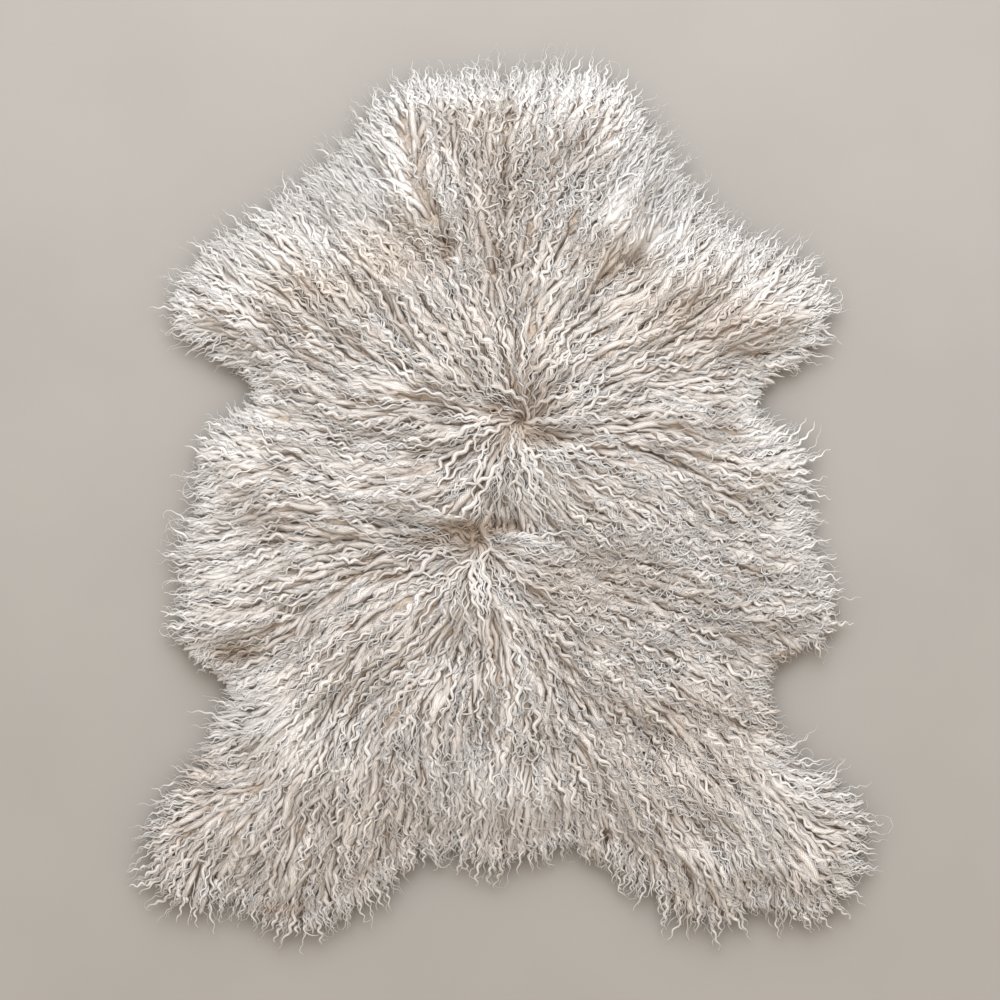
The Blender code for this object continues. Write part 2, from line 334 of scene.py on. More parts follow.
def linear(hex_colour):
    """An sRGB hex colour such as "#E6DCCF" as linear red, green and blue."""
    made = []
    for i in (1, 3, 5):
        share = int(hex_colour[i : i + 2], 16) / 255.0
        made.append(share / 12.92 if share <= 0.04045 else ((share + 0.055) / 1.055) ** 2.4)
    return tuple(made)


def colour_property(name, description, hex_colour):
    return FloatVectorProperty(
        name=name,
        description=description,
        default=linear(hex_colour),
        subtype="COLOR",
        min=0.0,
        max=1.0,
    )


def length_property(name, description, millimetres):
    return FloatProperty(
        name=name,
        description=description,
        default=millimetres * MM,
        min=0.0,
        subtype="DISTANCE",
        unit="LENGTH",
    )


class WoolSizes(bpy.types.PropertyGroup):
    """Sizes of the wool's locks."""

    rope_width: length_property("Rope width", "Width of a thick lock halfway along", 5.2)
    strand_width: length_property("Strand width", "Width of a fine strand halfway along", 1.2)
    crimp: length_property("Crimp", "Length of one wave of the wool", CRIMP)
    crimp_height: length_property("Crimp height", "How far a wave swings to each side", 1.7)
    ring: length_property("Ring", "Radius of the curls of a ringlet", 2.4)
    spacing: length_property("Spacing", "Distance between the roots of two ropes", 16.5)
    sink: length_property("Sink", "Depth of a lock's root under the wool's surface", 4.5)
    under_width: length_property("Under lock width", "Width of a flat lock under the ropes", 8.5)
    under_spacing: length_property("Under lock spacing", "Distance between the roots of two of them", 12.5)
    mat_depth: length_property("Mat depth", "Depth of the under-wool below the surface", 4.5)


class WoolColours(bpy.types.PropertyGroup):
    """Colours of the wool."""

    cream: colour_property("Cream", "Wool of the body", "#E6E8EB")
    white: colour_property("White", "Wool of the edge and the slopes", "#EBEBEC")
    beige: colour_property("Beige", "Sun-stained wool", "#D2C5B8")
    root: colour_property("Root", "Foot of a lock, in the shade of its neighbours", "#D6D4D3")
    # Painted shade of the gaps between a lock's strands.
    groove: colour_property("Groove", "Gaps between the fibres of a lock", "#AE9B8A")
    # Painted shade of the gaps in white wool, kept pale.
    pale_gap_shade: colour_property("Pale gap", "Gaps between the fibres of the white wool", "#E9E8E7")
    # Painted shade: the under-wool's colour, seen between the locks.
    mat: colour_property("Under-wool", "Short dense wool under the locks", "#A3917F")


class HideLook(bpy.types.PropertyGroup):
    """Size and colours of the tanned hide."""

    thickness: length_property("Thickness", "Thickness of the tanned skin", 2.2)
    rounding: length_property("Rounding", "Radius of the trimmed edge", 0.5)
    suede: colour_property("Suede", "Buffed flesh side of the hide", "#CDB89A")
    suede_dark: colour_property("Suede, dark", "Nap that lies the other way", "#B49B7B")
    mark: colour_property("Marks", "Veins and the line of the back", "#A88F70")


class StageLook(bpy.types.PropertyGroup):
    """Floor and lights."""

    floor: colour_property("Floor", "Plain pale floor", "#969492")
    reach: FloatProperty(
        name="Floor size",
        description="Length of the floor's side",
        default=9.0,
        min=1.0,
        subtype="DISTANCE",
        unit="LENGTH",
    )
    key_power: FloatProperty(
        name="Key light",
        description="Power of the soft light from ahead of the neck, in watts",
        default=77.0,
        min=0.0,
    )
    fill: FloatProperty(
        name="Fill light",
        description="Strength of the light from all round",
        default=1.06,
        min=0.0,
    )


# ---------------------------------------------------------------------------------------------------------
# Fields over the pelt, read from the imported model.


def smooth_step(t):
    t = np.clip(t, 0.0, 1.0)
    return t * t * (3.0 - 2.0 * t)


def smooth_noise(points, pitch, seed):
    """Repeatable noise from -1 to 1 at points of the plane, with lumps about pitch apart."""
    table = np.random.default_rng(seed).uniform(-1.0, 1.0, (256, 256))
    place = points / pitch + 500.0
    cell = np.floor(place).astype(int)
    share = smooth_step(place - cell)
    x, y = share[..., 0], share[..., 1]

    def at(right, up):
        return table[(cell[..., 0] + right) % 256, (cell[..., 1] + up) % 256]

    near = at(0, 0) * (1.0 - x) + at(1, 0) * x
    far = at(0, 1) * (1.0 - x) + at(1, 1) * x
    return near * (1.0 - y) + far * y


def unit(vectors):
    return vectors / np.maximum(np.linalg.norm(vectors, axis=-1, keepdims=True), 1e-9)


def turned(vectors, angle):
    """Plane vectors turned anticlockwise by the angle."""
    c, s = np.cos(angle), np.sin(angle)
    x, y = vectors[..., 0], vectors[..., 1]
    return np.stack((x * c - y * s, x * s + y * c), axis=-1)


def from_segment(points, start, end):
    """The vector to each point from the nearest place on the line from start to end."""
    start, end = np.array(start) * MM, np.array(end) * MM
    line = end - start
    along = np.clip((points - start) @ line / (line @ line), 0.0, 1.0)
    return points - (start + along[..., None] * line)


def part_strength(points, parts):
    """How strongly the points lie in any of the named parts, from 0 to 1. A part fades past its border."""
    strength = np.zeros(points.shape[:-1])
    for _, middle, half, most in parts:
        off = (points / MM - np.array(middle)) / np.array(half)
        strength = np.maximum(strength, most * np.exp(-PART_FADE * (off**2).sum(-1) ** PART_POWER))
    return strength


def wool_lie(points):
    """The direction in which the wool lies: away from its whorl, and aside from the partings."""
    fore, hind = np.array(FORE_WHORL) * MM, np.array(HIND_WHORL) * MM
    meeting = np.array(MEETING) * MM
    off = points - meeting
    ahead = off[..., 1] - MEETING_SLOPE * off[..., 0]
    width, growth = MEETING_BAND
    band = width + growth * np.abs(off[..., 0])
    share = smooth_step(0.5 + ahead / (2.0 * band))[..., None]
    lie = unit(unit(points - fore) * share + unit(points - hind) * (1.0 - share))
    for _, start, end, reach, most in PARTINGS:
        aside = from_segment(points, start, end)
        distance = np.linalg.norm(aside, axis=-1, keepdims=True)
        lie = unit(lie + unit(aside) * most * np.exp(-((distance / (reach * MM)) ** 2)))
    for whorl, turn in ((fore, FORE_SWIRL), (hind, HIND_SWIRL)):
        near = np.exp(-((np.linalg.norm(points - whorl, axis=-1) / SWIRL_REACH) ** 2))
        lie = turned(lie, turn * near)
    free = smooth_step(np.linalg.norm(points - fore, axis=-1) / STRAY_REACH)
    free *= smooth_step(np.linalg.norm(points - hind, axis=-1) / STRAY_REACH)
    stray = sum(angle * smooth_noise(points, pitch, seed) for angle, pitch, seed in STRAYS)
    lie = turned(lie, stray * (LEAST_STRAY + (1.0 - LEAST_STRAY) * free))
    near_edge = 1.0 - smooth_step(pelt.sample(pelt.inside, points) / EDGE_TURN)[..., None]
    return unit(lie + unit(pelt.sample(pelt.out, points)) * EDGE_PULL * near_edge)


def node_points(name):
    """Every triangle of a CAD node, as three points each."""
    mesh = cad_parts[name].data
    mesh.calc_loop_triangles()
    corners = np.empty(len(mesh.loop_triangles) * 3, int)
    mesh.loop_triangles.foreach_get("vertices", corners)
    places = np.empty(len(mesh.vertices) * 3)
    mesh.vertices.foreach_get("co", places)
    return places.reshape(-1, 3)[corners].reshape(-1, 3, 3)


def hide_outline():
    """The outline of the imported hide's foot, in order, as plane points."""
    triangles = node_points("hide")
    foot = triangles[triangles[:, :, 2].max(1) < 0.1 * MM][:, :, :2]
    keys = [[tuple(p) for p in t] for t in np.round(foot / (0.01 * MM)).astype(int)]
    places = {key: p for t, ks in zip(foot, keys) for key, p in zip(ks, t)}
    used = {}
    for a, b, c in keys:
        for edge in ((a, b), (b, c), (c, a)):
            used[frozenset(edge)] = used.get(frozenset(edge), 0) + 1
    beside = {}
    for edge, count in used.items():
        if count == 1:
            a, b = edge
            beside.setdefault(a, []).append(b)
            beside.setdefault(b, []).append(a)
    first = min(beside)
    loop, last, here = [first], None, first
    while True:
        following = [p for p in beside[here] if p != last][0]
        if following == first:
            break
        loop.append(following)
        last, here = here, following
    return np.array([places[p] for p in loop])


class Pelt:
    """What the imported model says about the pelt: its edge, its height and which way is out."""

    def __init__(self):
        self.outline = hide_outline()
        low, high = (np.array(corner)[:2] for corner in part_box("fleece"))
        self.low = low - FIELD_MARGIN
        counts = np.ceil((high - low + 2.0 * FIELD_MARGIN) / FIELD_PITCH).astype(int) + 1
        xs = self.low[0] + FIELD_PITCH * np.arange(counts[0])
        ys = self.low[1] + FIELD_PITCH * np.arange(counts[1])
        self.points = np.stack(np.meshgrid(xs, ys, indexing="ij"), axis=-1)
        self.inside = self.distance_inside(self.points) + HIDE_INSET
        self.height = self.surface()
        self.out = -np.stack(np.gradient(self.inside, FIELD_PITCH), axis=-1)
        self.top = self.height
        # Painted shade of the creases and the edge behind; it also sinks the wool in the creases.
        self.dark = self.shading()
        self.white = self.whiteness()
        self.curl = part_strength(self.points, RING_PARTS)

    def whiteness(self):
        """The white of the wool's edge, strongest at the neck, and of the named white parts. Behind, away
        from the lamp, the edge is less white: painted shade.
        """
        rim, ahead = self.rim()
        return np.maximum(part_strength(self.points, WHITE_PARTS), rim * ahead)

    def rim(self):
        """How near the edge the points lie, and how far towards the neck, both from 0 to 1."""
        near = 1.0 - smooth_step((self.inside + RIM_START) / RIM_WIDTH)
        return near, smooth_step((self.points[..., 1] + HIND_END) / PELT_LENGTH)

    def shading(self):
        """Painted shade: in the creases, and at the edge behind, which lies in the shade of the wool ahead
        of it.
        """
        rim, ahead = self.rim()
        return np.maximum(part_strength(self.points, SUNK_AND_PAINTED_SHADE_PARTS), RIM_SHADE * rim * (1.0 - ahead))

    def add_tufts(self):
        """Lifts the wool into tufts drawn out along its lie, and sinks it in the creases."""
        tufts = np.zeros(self.points.shape[:2])
        for pitch, height, seed in TUFTS:
            total = np.zeros_like(tufts)
            place = self.points.copy()
            for _ in range(TUFT_STEPS):
                total += smooth_noise(place, pitch * MM, seed)
                place = place - wool_lie(place) * TUFT_STRIDE
            tufts += height * MM * total / TUFT_STEPS
        calm = smooth_step(self.inside / CALM_EDGE)
        self.tuft = tufts / (sum(row[1] for row in TUFTS) * MM)
        self.top = self.height + tufts * calm - CREASE_DEPTH * self.dark * calm

    def distance_inside(self, points):
        """Distance to the hide's outline, above 0 inside it."""
        flat = points.reshape(-1, 2)
        nearest = np.full(len(flat), 1e9)
        crossings = np.zeros(len(flat), int)
        for a, b in zip(self.outline, np.roll(self.outline, -1, axis=0)):
            line = b - a
            along = np.clip((flat - a) @ line / (line @ line), 0.0, 1.0)
            off = flat - (a + along[:, None] * line)
            nearest = np.minimum(nearest, (off**2).sum(1))
            spans = (a[1] > flat[:, 1]) != (b[1] > flat[:, 1])
            rise = line[1] if abs(line[1]) > 1e-12 else 1e-12
            crossings += spans & (flat[:, 0] < a[0] + (flat[:, 1] - a[1]) * line[0] / rise)
        distance = np.sqrt(nearest) * np.where(crossings % 2 == 1, 1.0, -1.0)
        return distance.reshape(points.shape[:-1])

    def surface(self):
        """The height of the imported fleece, and outside its edge that of the wool that falls from it."""
        triangles = node_points("fleece")
        corners = triangles.reshape(-1, 3)
        faces = np.arange(len(corners)).reshape(-1, 3)
        tree = BVHTree.FromPolygons([Vector(p) for p in corners], faces.tolist())
        fallen = TIP_HEIGHT + (EDGE_HEIGHT - TIP_HEIGHT) * np.exp(
            -((np.maximum(-self.inside, 0.0) / FALL) ** 1.5)
        )
        height = fallen.copy()
        down = Vector((0.0, 0.0, -1.0))
        for i, j in np.argwhere(self.inside > 0.0):
            hit = tree.ray_cast(Vector((*self.points[i, j], 1.0)), down)
            if hit[0] is not None:
                height[i, j] = max(hit[0].z, fallen[i, j])
        for _ in range(2):
            padded = np.pad(height, 1, mode="edge")
            near = padded[:-2, 1:-1] + padded[2:, 1:-1] + padded[1:-1, :-2] + padded[1:-1, 2:]
            height = 0.5 * height + 0.125 * near
        return height

    def sample(self, field, points):
        """The field's value at any points, from the four points of its grid around each."""
        place = (points - self.low) / FIELD_PITCH
        limit = np.array(field.shape[:2]) - 1.001
        place = np.clip(place, 0.0, limit)
        cell = place.astype(int)
        share = place - cell
        i, j = cell[..., 0], cell[..., 1]
        x, y = share[..., 0], share[..., 1]
        if field.ndim == 3:
            x, y = x[..., None], y[..., None]
        near = field[i, j] * (1.0 - x) + field[i + 1, j] * x
        far = field[i, j + 1] * (1.0 - x) + field[i + 1, j + 1] * x
        return near * (1.0 - y) + far * y


pelt = None


# ---------------------------------------------------------------------------------------------------------
# Locks of wool.


class LockKind(NamedTuple):
    """One kind of lock. Lengths are in millimetres, and lifts are above the wool's surface. Widths and
    lifts are at the root, at a third, at two thirds and at the tip."""

    steps: int
    widths: tuple
    uneven: float  # how much the width differs from lock to lock, as a share
    thickness: float  # height of a section as a share of its width
    crimp: float
    swing: float
    lifts: tuple
    stray: float  # how far a lock turns from the way the wool lies, in radians
    loose: float  # how far its waves are out of step with its clump's, in radians
    hooked: float  # share of the locks that end in a hook
    rise: float = 0.5
    loop: float = 0.0
    outwards: float = 0.0  # how much a lock points out of the edge, from 0 to 1
    reach: tuple = (1.0, 15.0)  # how far past the wool's edge a lock may end
    gather: float = 0.55  # how far the strands of a clump come together at its tip, as a share
    hang: tuple = (0.0, 0.0)  # at the root and at the tip, the share of its height that a lock hangs down


def slow_sway(along, sway, start):
    """A sway that turns slowly along the lock, from its length in millimetres and its strength."""
    length, strength = sway
    return strength * np.sin(2.0 * math.pi * (along / (length * MM) + start))


def lock_profile(t, values):
    """A smooth curve through values that stand evenly along the lock."""
    places = np.linspace(0.0, 1.0, len(values))
    fine = np.interp(t, places, values)
    before = np.interp(np.clip(t - PROFILE_BLEND, 0.0, 1.0), places, values)
    after = np.interp(np.clip(t + PROFILE_BLEND, 0.0, 1.0), places, values)
    return 0.5 * fine + 0.25 * (before + after)


def lock_lie(kind, points):
    """The way a lock of this kind lies at the points."""
    lie = wool_lie(points)
    if kind.outwards > 0.0:
        out = unit(pelt.sample(pelt.out, points))
        lie = unit(lie * (1.0 - kind.outwards) + out * kind.outwards)
    return lie


def room_ahead(kind, roots, rng):
    """How far each lock may run before it passes the edge's reach or turns back in across a notch."""
    reach = rng.uniform(*kind.reach, len(roots)) * MM
    place = roots.copy()
    room = np.zeros(len(roots))
    free = np.ones(len(roots), bool)
    longest = kind.crimp * MM * PITCH_RANGE[1] * kind.steps / STEPS_A_WAVE
    for _ in range(int(longest / WALK_STRIDE) + 1):
        lie = lock_lie(kind, place)
        inside = pelt.sample(pelt.inside, place)
        notch = part_strength(place, NOTCHES)
        limit = reach * (1.0 - notch) + NOTCH_REACH * notch
        turns_in = (lie * unit(pelt.sample(pelt.out, place))).sum(-1) < LEAST_OUTWARDS
        free &= (inside > -limit) & ~((inside < 0.0) & turns_in)
        room += np.where(free, WALK_STRIDE, 0.0)
        place = place + lie * WALK_STRIDE
    return np.maximum(room, LEAST_LENGTH)


def grow(kind, roots, clumps, rng):
    """The middle line, width and section frame of each lock, from its root to its tip.

    clumps holds, for each lock, its shared phase, turn, lift and side offset, so that the strands of one
    clump wave together.
    """
    count, steps = len(roots), kind.steps
    t = np.linspace(0.0, 1.0, steps + 1)
    whole = kind.crimp * MM * clumps["pitch"] * rng.uniform(*LENGTH_SPREAD, count) * steps / STEPS_A_WAVE
    length = np.minimum(whole, room_ahead(kind, roots, rng))
    white = pelt.sample(pelt.white, roots)[:, None]
    curl = pelt.sample(pelt.curl, roots)[:, None]
    stride = (length / steps)[:, None]
    turn = clumps["turn"] + rng.normal(0.0, kind.stray, count)
    wander = rng.normal(0.0, WANDER, count)
    hook_side = np.where(rng.random(count) < 0.5, -1.0, 1.0)
    is_hooked = rng.random(count) < kind.hooked
    hook = np.where(is_hooked, rng.uniform(*HOOK_TURN, count) * hook_side, 0.0)
    hook_from = rng.uniform(*HOOK_START, count)

    place = roots.copy()
    line = np.empty((count, steps + 1, 2))
    heading = np.empty((count, steps + 1, 2))
    hooked = np.zeros(count)
    for k in range(steps + 1):
        line[:, k] = place
        lie = lock_lie(kind, place)
        hooked += np.where(t[k] > hook_from, hook, 0.0)
        ahead = turned(lie, turn + wander * math.sin(WANDER_WAVE * t[k]) + hooked)
        heading[:, k] = ahead
        place = place + ahead * stride
    along = stride * np.arange(steps + 1)
    start = clumps["uneven"][:, None]
    turning = 2.0 * math.pi / STEPS_A_WAVE * np.where(stride < LEAST_STRIDE, 0.5, 1.0)
    phase = clumps["phase"][:, None] + turning * np.arange(steps + 1) + slow_sway(along, PHASE_SWAY, start)
    phase = phase + rng.normal(0.0, kind.loose, count)[:, None] * (PLAIN_LOOSE + CURLY_LOOSE * curl)
    strong = WAVE_STRENGTH + slow_sway(along, STRENGTH_SWAY, 1.7 * start)
    strong *= (1.0 + CURLY_STRONGER * curl) * (1.0 - WHITE_CALMER * white)
    grown = (ROOT_WAVES + (1.0 - ROOT_WAVES) * smooth_step(t / ROOT_END)) * strong
    swing = kind.swing * MM * rng.uniform(*SWING_SPREAD, count)[:, None] * grown
    slow = slow_sway(along, LINE_SWAY, 2.3 * start)
    aside = np.stack((-heading[..., 1], heading[..., 0]), axis=-1)
    swayed = swing * np.sin(phase) + slow
    sway = (swayed - swayed[:, :1])[..., None]
    gather = (clumps["beside"][:, None] * -kind.gather * smooth_step(t))[..., None]
    flat = line + aside * (sway + gather)
    flat += heading * (kind.loop * MM * grown * np.cos(phase))[..., None]
    lift = lock_profile(t, kind.lifts) * MM + clumps["lift"][:, None] * np.sin(math.pi * t) ** 0.5
    lift *= 1.0 - WHITE_FLATTER * white
    wave = kind.rise * MM * grown * np.cos(phase + 0.6)
    broad = np.exp(rng.normal(0.0, kind.uneven, count))[:, None] * (1.0 - WHITE_THINNER * white)
    width = lock_profile(t, kind.widths) * MM * broad
    ground = FLOOR_GAP + 0.5 * kind.thickness * width
    stands = (pelt.sample(pelt.top, flat) + lift) * (1.0 - lock_profile(t, kind.hang))
    z = np.maximum(stands + wave, ground)
    middle = np.concatenate((flat, z[..., None]), axis=-1)
    thickness = kind.thickness * (1.0 - WHITE_SECTION * white)
    return {"middle": middle, "width": width, "thickness": thickness, "phase": phase, "t": t}


def lock_sections(grown):
    """Three points round each step of each lock: left foot, crest, right foot."""
    middle, width = grown["middle"], grown["width"][..., None]
    ahead = unit(np.gradient(middle, axis=1))
    side = unit(np.cross(np.broadcast_to(UP, ahead.shape), ahead))
    up = unit(np.cross(ahead, side))
    high = width * grown["thickness"][..., None]
    lean = LOCK_LEAN * np.sin(grown["phase"] + 1.0)[..., None]
    left = middle + side * width * 0.5 - up * high * LOCK_FOOT
    right = middle - side * width * 0.5 - up * high * LOCK_FOOT
    crest = middle + side * width * lean + up * high * (1.0 - LOCK_FOOT)
    tip = middle[:, -1] + ahead[:, -1] * width[:, -1] * LOCK_POINT
    return np.stack((left, crest, right), axis=2), tip


def lock_mesh(name, grown, tone, material):
    """One mesh of many closed locks, with the maps and attributes that the wool's material reads."""
    sections, tips = lock_sections(grown)
    sections[..., 2] = np.maximum(sections[..., 2], FLOOR_GAP)
    count, rings = sections.shape[:2]
    steps = rings - 1
    each = rings * 3 + 1
    places = np.concatenate((sections.reshape(count, -1, 3), tips[:, None]), axis=1)

    ring = np.arange(steps)[:, None]
    side = np.arange(3)[None, :]
    following = (side + 1) % 3
    quads = np.stack(
        (ring * 3 + side, ring * 3 + following, (ring + 1) * 3 + following, (ring + 1) * 3 + side),
        axis=-1,
    ).reshape(-1, 4)
    top = steps * 3
    points = np.array([(top, top + 1, each - 1), (top + 1, top + 2, each - 1), (top + 2, top, each - 1)])
    foot = np.array([(0, 2, 1)])
    pattern = np.concatenate((quads.ravel(), points.ravel(), foot.ravel()))
    totals = np.array([4] * len(quads) + [3] * 4)
    corners = (np.arange(count)[:, None] * each + pattern).ravel()
    starts = np.concatenate(([0], np.cumsum(np.tile(totals, count))[:-1]))

    # Round the lock and along it, for each corner of one lock.
    low_end, high_end = CELL_BODY
    rows = low_end + (high_end - low_end) * np.arange(rings) / steps
    around, up_row = [], []
    for k in range(steps):
        for s in range(3):
            around += [s / 3, (s + 1) / 3, (s + 1) / 3, s / 3]
            up_row += [rows[k], rows[k], rows[k + 1], rows[k + 1]]
    for s in range(3):
        around += [s / 3, (s + 1) / 3, (s + 0.5) / 3]
        up_row += [rows[-1], rows[-1], CELL_POINT]
    around += [0.0, 2 / 3, 1 / 3]
    up_row += [CELL_FOOT[0], CELL_FOOT[0], CELL_FOOT[1]]
    around, up_row = np.array(around), np.array(up_row)

    mesh = bpy.data.meshes.new(name)
    mesh.vertices.add(count * each)
    mesh.vertices.foreach_set("co", places.astype(np.float32).ravel())
    mesh.loops.add(len(corners))
    mesh.loops.foreach_set("vertex_index", corners.astype(np.int32))
    mesh.polygons.add(len(totals) * count)
    mesh.polygons.foreach_set("loop_start", starts.astype(np.int32))
    mesh.update(calc_edges=True)
    mesh.shade_smooth()

    # The pattern map: once round is 1, and along the lock 1 is the map's unit.
    lengths = np.linalg.norm(np.diff(grown["middle"], axis=1), axis=-1).sum(1) / MAP_UNIT
    share = (up_row - low_end) / (high_end - low_end)
    pattern_map = np.stack(
        (np.broadcast_to(around, (count, len(around))), share[None, :] * lengths[:, None]), axis=-1
    )
    add_map(mesh, "Fibres", pattern_map)
    # The flat map: a cell for each lock, all over the square.
    columns = max(1, int(math.ceil(math.sqrt(count * CELL_LENGTH))))
    cell_rows = int(math.ceil(count / columns))
    column = (np.arange(count) % columns)[:, None]
    row = (np.arange(count) // columns)[:, None]
    across = column + CELL_BORDER + (1.0 - 2.0 * CELL_BORDER) * around[None, :]
    flat_map = np.stack((across / columns, (row + up_row[None, :]) / cell_rows), axis=-1)
    add_map(mesh, "OFBake", flat_map)

    along = np.concatenate((np.repeat(grown["t"], 3), [1.0]))
    flat = places[..., :2]
    add_value(mesh, "along", np.broadcast_to(along, (count, each)))
    add_value(mesh, "tone", np.broadcast_to(tone[:, None], (count, each)))
    add_places(mesh, flat)
    add_value(mesh, "wave", np.broadcast_to(grown["phase"][:, :1] % (2.0 * math.pi), (count, each)))
    add_value(mesh, "lock", np.broadcast_to(np.arange(count)[:, None] * LOCK_STEP, (count, each)))
    mesh.materials.append(material)
    piece = bpy.data.objects.new(name, mesh)
    bpy.context.scene.collection.objects.link(piece)
    return piece


def add_map(mesh, name, corners):
    layer = mesh.uv_layers.new(name=name)
    layer.data.foreach_set("uv", corners.astype(np.float32).ravel())


def add_value(mesh, name, values):
    attribute = mesh.attributes.new(name, "FLOAT", "POINT")
    attribute.data.foreach_set("value", np.ascontiguousarray(values, np.float32).ravel())


def add_places(mesh, points):
    """What the material reads of each point's place on the pelt: how beige and how white the wool is, and
    how much painted shade it takes, from 0 on top of a tuft to 1 in a crease."""
    add_value(mesh, "beige", part_strength(points, BEIGE_PARTS))
    add_value(mesh, "white", pelt.sample(pelt.white, points))
    # Painted shade, strongest low between the tufts and in the creases and notches.
    low = LOW_SHADE - HIGH_LESS * pelt.sample(pelt.tuft, points)
    shade = LOW_SHADE * smooth_step(low) + pelt.sample(pelt.dark, points)
    add_value(mesh, "shade", np.clip(shade, 0.0, 1.0))


def spread_roots(spacing, least_inside, rng):
    """Roots in an uneven triangular pattern all over the wool."""
    low, high = pelt.points[0, 0], pelt.points[-1, -1]
    spacing = spacing / math.sqrt(QUICK_SHARE)
    rows = np.arange(low[1], high[1], spacing * math.sqrt(0.75))
    columns = np.arange(low[0], high[0], spacing)
    x = columns[None, :] + spacing / 2.0 * (np.arange(len(rows)) % 2)[:, None]
    y = np.broadcast_to(rows[:, None], x.shape)
    points = np.stack((x, y), axis=-1).reshape(-1, 2)
    points += rng.uniform(-ROOT_STRAY, ROOT_STRAY, points.shape) * spacing
    return points[pelt.sample(pelt.inside, points) > least_inside]


def whorl_roots(rng):
    """Rings of roots round the two whorls, where thick ropes spread from a point."""
    made = []
    for middle, rings in WHORL_RINGS:
        for radius, count in rings:
            angle = 2.0 * math.pi * (np.arange(count) + rng.uniform(-RING_STRAY, RING_STRAY, count)) / count
            step = SPOKE_STEP + SPOKE_GROWTH * radius
            away = radius + rng.uniform(-SPOKE_STRAY, SPOKE_STRAY, count) * step
            spoke = np.stack((np.cos(angle), np.sin(angle)), axis=-1)
            made.append((np.array(middle) + spoke * away[:, None]) * MM)
    return np.concatenate(made)


def outside_whorls(points):
    """Which points lie outside the rings of whorl ropes."""
    free = np.ones(len(points), bool)
    for middle, rings in WHORL_RINGS:
        away = np.linalg.norm(points / MM - np.array(middle), axis=-1)
        free &= away > rings[-1][0] + WHORL_GAP
    return free


def clump_values(roots, rng):
    """What the strands of one clump share."""
    fore = np.array(FORE_WHORL) * MM
    away = np.linalg.norm(roots - fore, axis=-1)
    patch, waves = PHASE_PATCH
    phase = 2.0 * math.pi * (away / (CRIMP * MM) + waves * smooth_noise(roots, patch, 5))
    return {
        "phase": phase + rng.normal(0.0, CLUMP_PHASE, len(roots)),
        "turn": rng.normal(0.0, CLUMP_TURN, len(roots)),
        "lift": rng.uniform(*CLUMP_LIFT, len(roots)) * MM,
        "beside": np.zeros(len(roots)),
        "pitch": rng.uniform(*PITCH_RANGE, len(roots)),
        "uneven": rng.uniform(0.0, 1.0, len(roots)),
    }


def chosen(clumps, which):
    """The values of the chosen clumps alone."""
    return {key: values[which] for key, values in clumps.items()}


def dress(piece, replaced=None):
    """Ties a finished piece to the frame."""
    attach(piece, BODY)
    if replaced:
        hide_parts(replaced)
    return piece


# ---------------------------------------------------------------------------------------------------------
# Materials.


COLOUR = {"data_type": "RGBA", "clamp_factor": True}
SMOOTH = {"interpolation_type": "SMOOTHSTEP"}
# Places and numbers of the Mix node's sockets for colours.
SHARE, FIRST, SECOND, MIXED = 0, 6, 7, 2


def node(tree, kind, inputs=(), output=0, **settings):
    """Adds a node with its settings, sets or links its inputs, and gives one of its outputs. The inputs are
    in order, or {socket: value}."""
    made = tree.nodes.new("ShaderNode" + kind)
    for name, value in settings.items():
        setattr(made, name, value)
    for key, value in inputs.items() if isinstance(inputs, dict) else enumerate(inputs):
        if isinstance(value, bpy.types.NodeSocket):
            tree.links.new(value, made.inputs[key])
        else:
            made.inputs[key].default_value = value
    return made.outputs[output] if made.outputs else None


def new_material(name, *attributes):
    """A material without nodes, its tree, and readings of the pieces' own attributes."""
    made = bpy.data.materials.new(name)
    made.use_nodes = True
    tree = made.node_tree
    tree.nodes.clear()
    return made, tree, *(node(tree, "Attribute", (), "Fac", attribute_name=a) for a in attributes)


def rgba(colour):
    return (*colour, 1.0)


def finish_shader(tree, colour, roughness, height, depth, strength, sheen, through=0.0):
    """Joins colour and relief in a dull shader with a soft sheen. Some light goes through white wool."""
    normal = node(tree, "Bump", {"Strength": strength, "Distance": depth, "Height": height})
    shader = node(
        tree,
        "BsdfPrincipled",
        {
            "Base Color": colour,
            "Roughness": roughness,
            "Normal": normal,
            "Sheen Weight": sheen,
            "Sheen Roughness": 0.45,
            "Specular IOR Level": 0.25,
            "Subsurface Weight": through,
            "Subsurface Radius": (1.0, 0.97, 0.93),
            "Subsurface Scale": 4.0 * MM,
        },
    )
    node(tree, "OutputMaterial", {"Surface": shader})


def darkened(tree, colour, value):
    """The colour, times the value."""
    grey = node(tree, "CombineColor", (value, value, value))
    both = {SHARE: 1.0, FIRST: colour, SECOND: grey}
    return node(tree, "Mix", both, MIXED, blend_type="MULTIPLY", **COLOUR)


def calmed(tree, value, white):
    """The value, drawn to 1 in the white wool, which shows less of its fibres."""
    off = node(tree, "Math", (value, 1.0), operation="SUBTRACT")
    kept = node(tree, "Math", (white, -0.85, 1.0), operation="MULTIPLY_ADD")
    return node(tree, "Math", (off, kept, 1.0), operation="MULTIPLY_ADD")


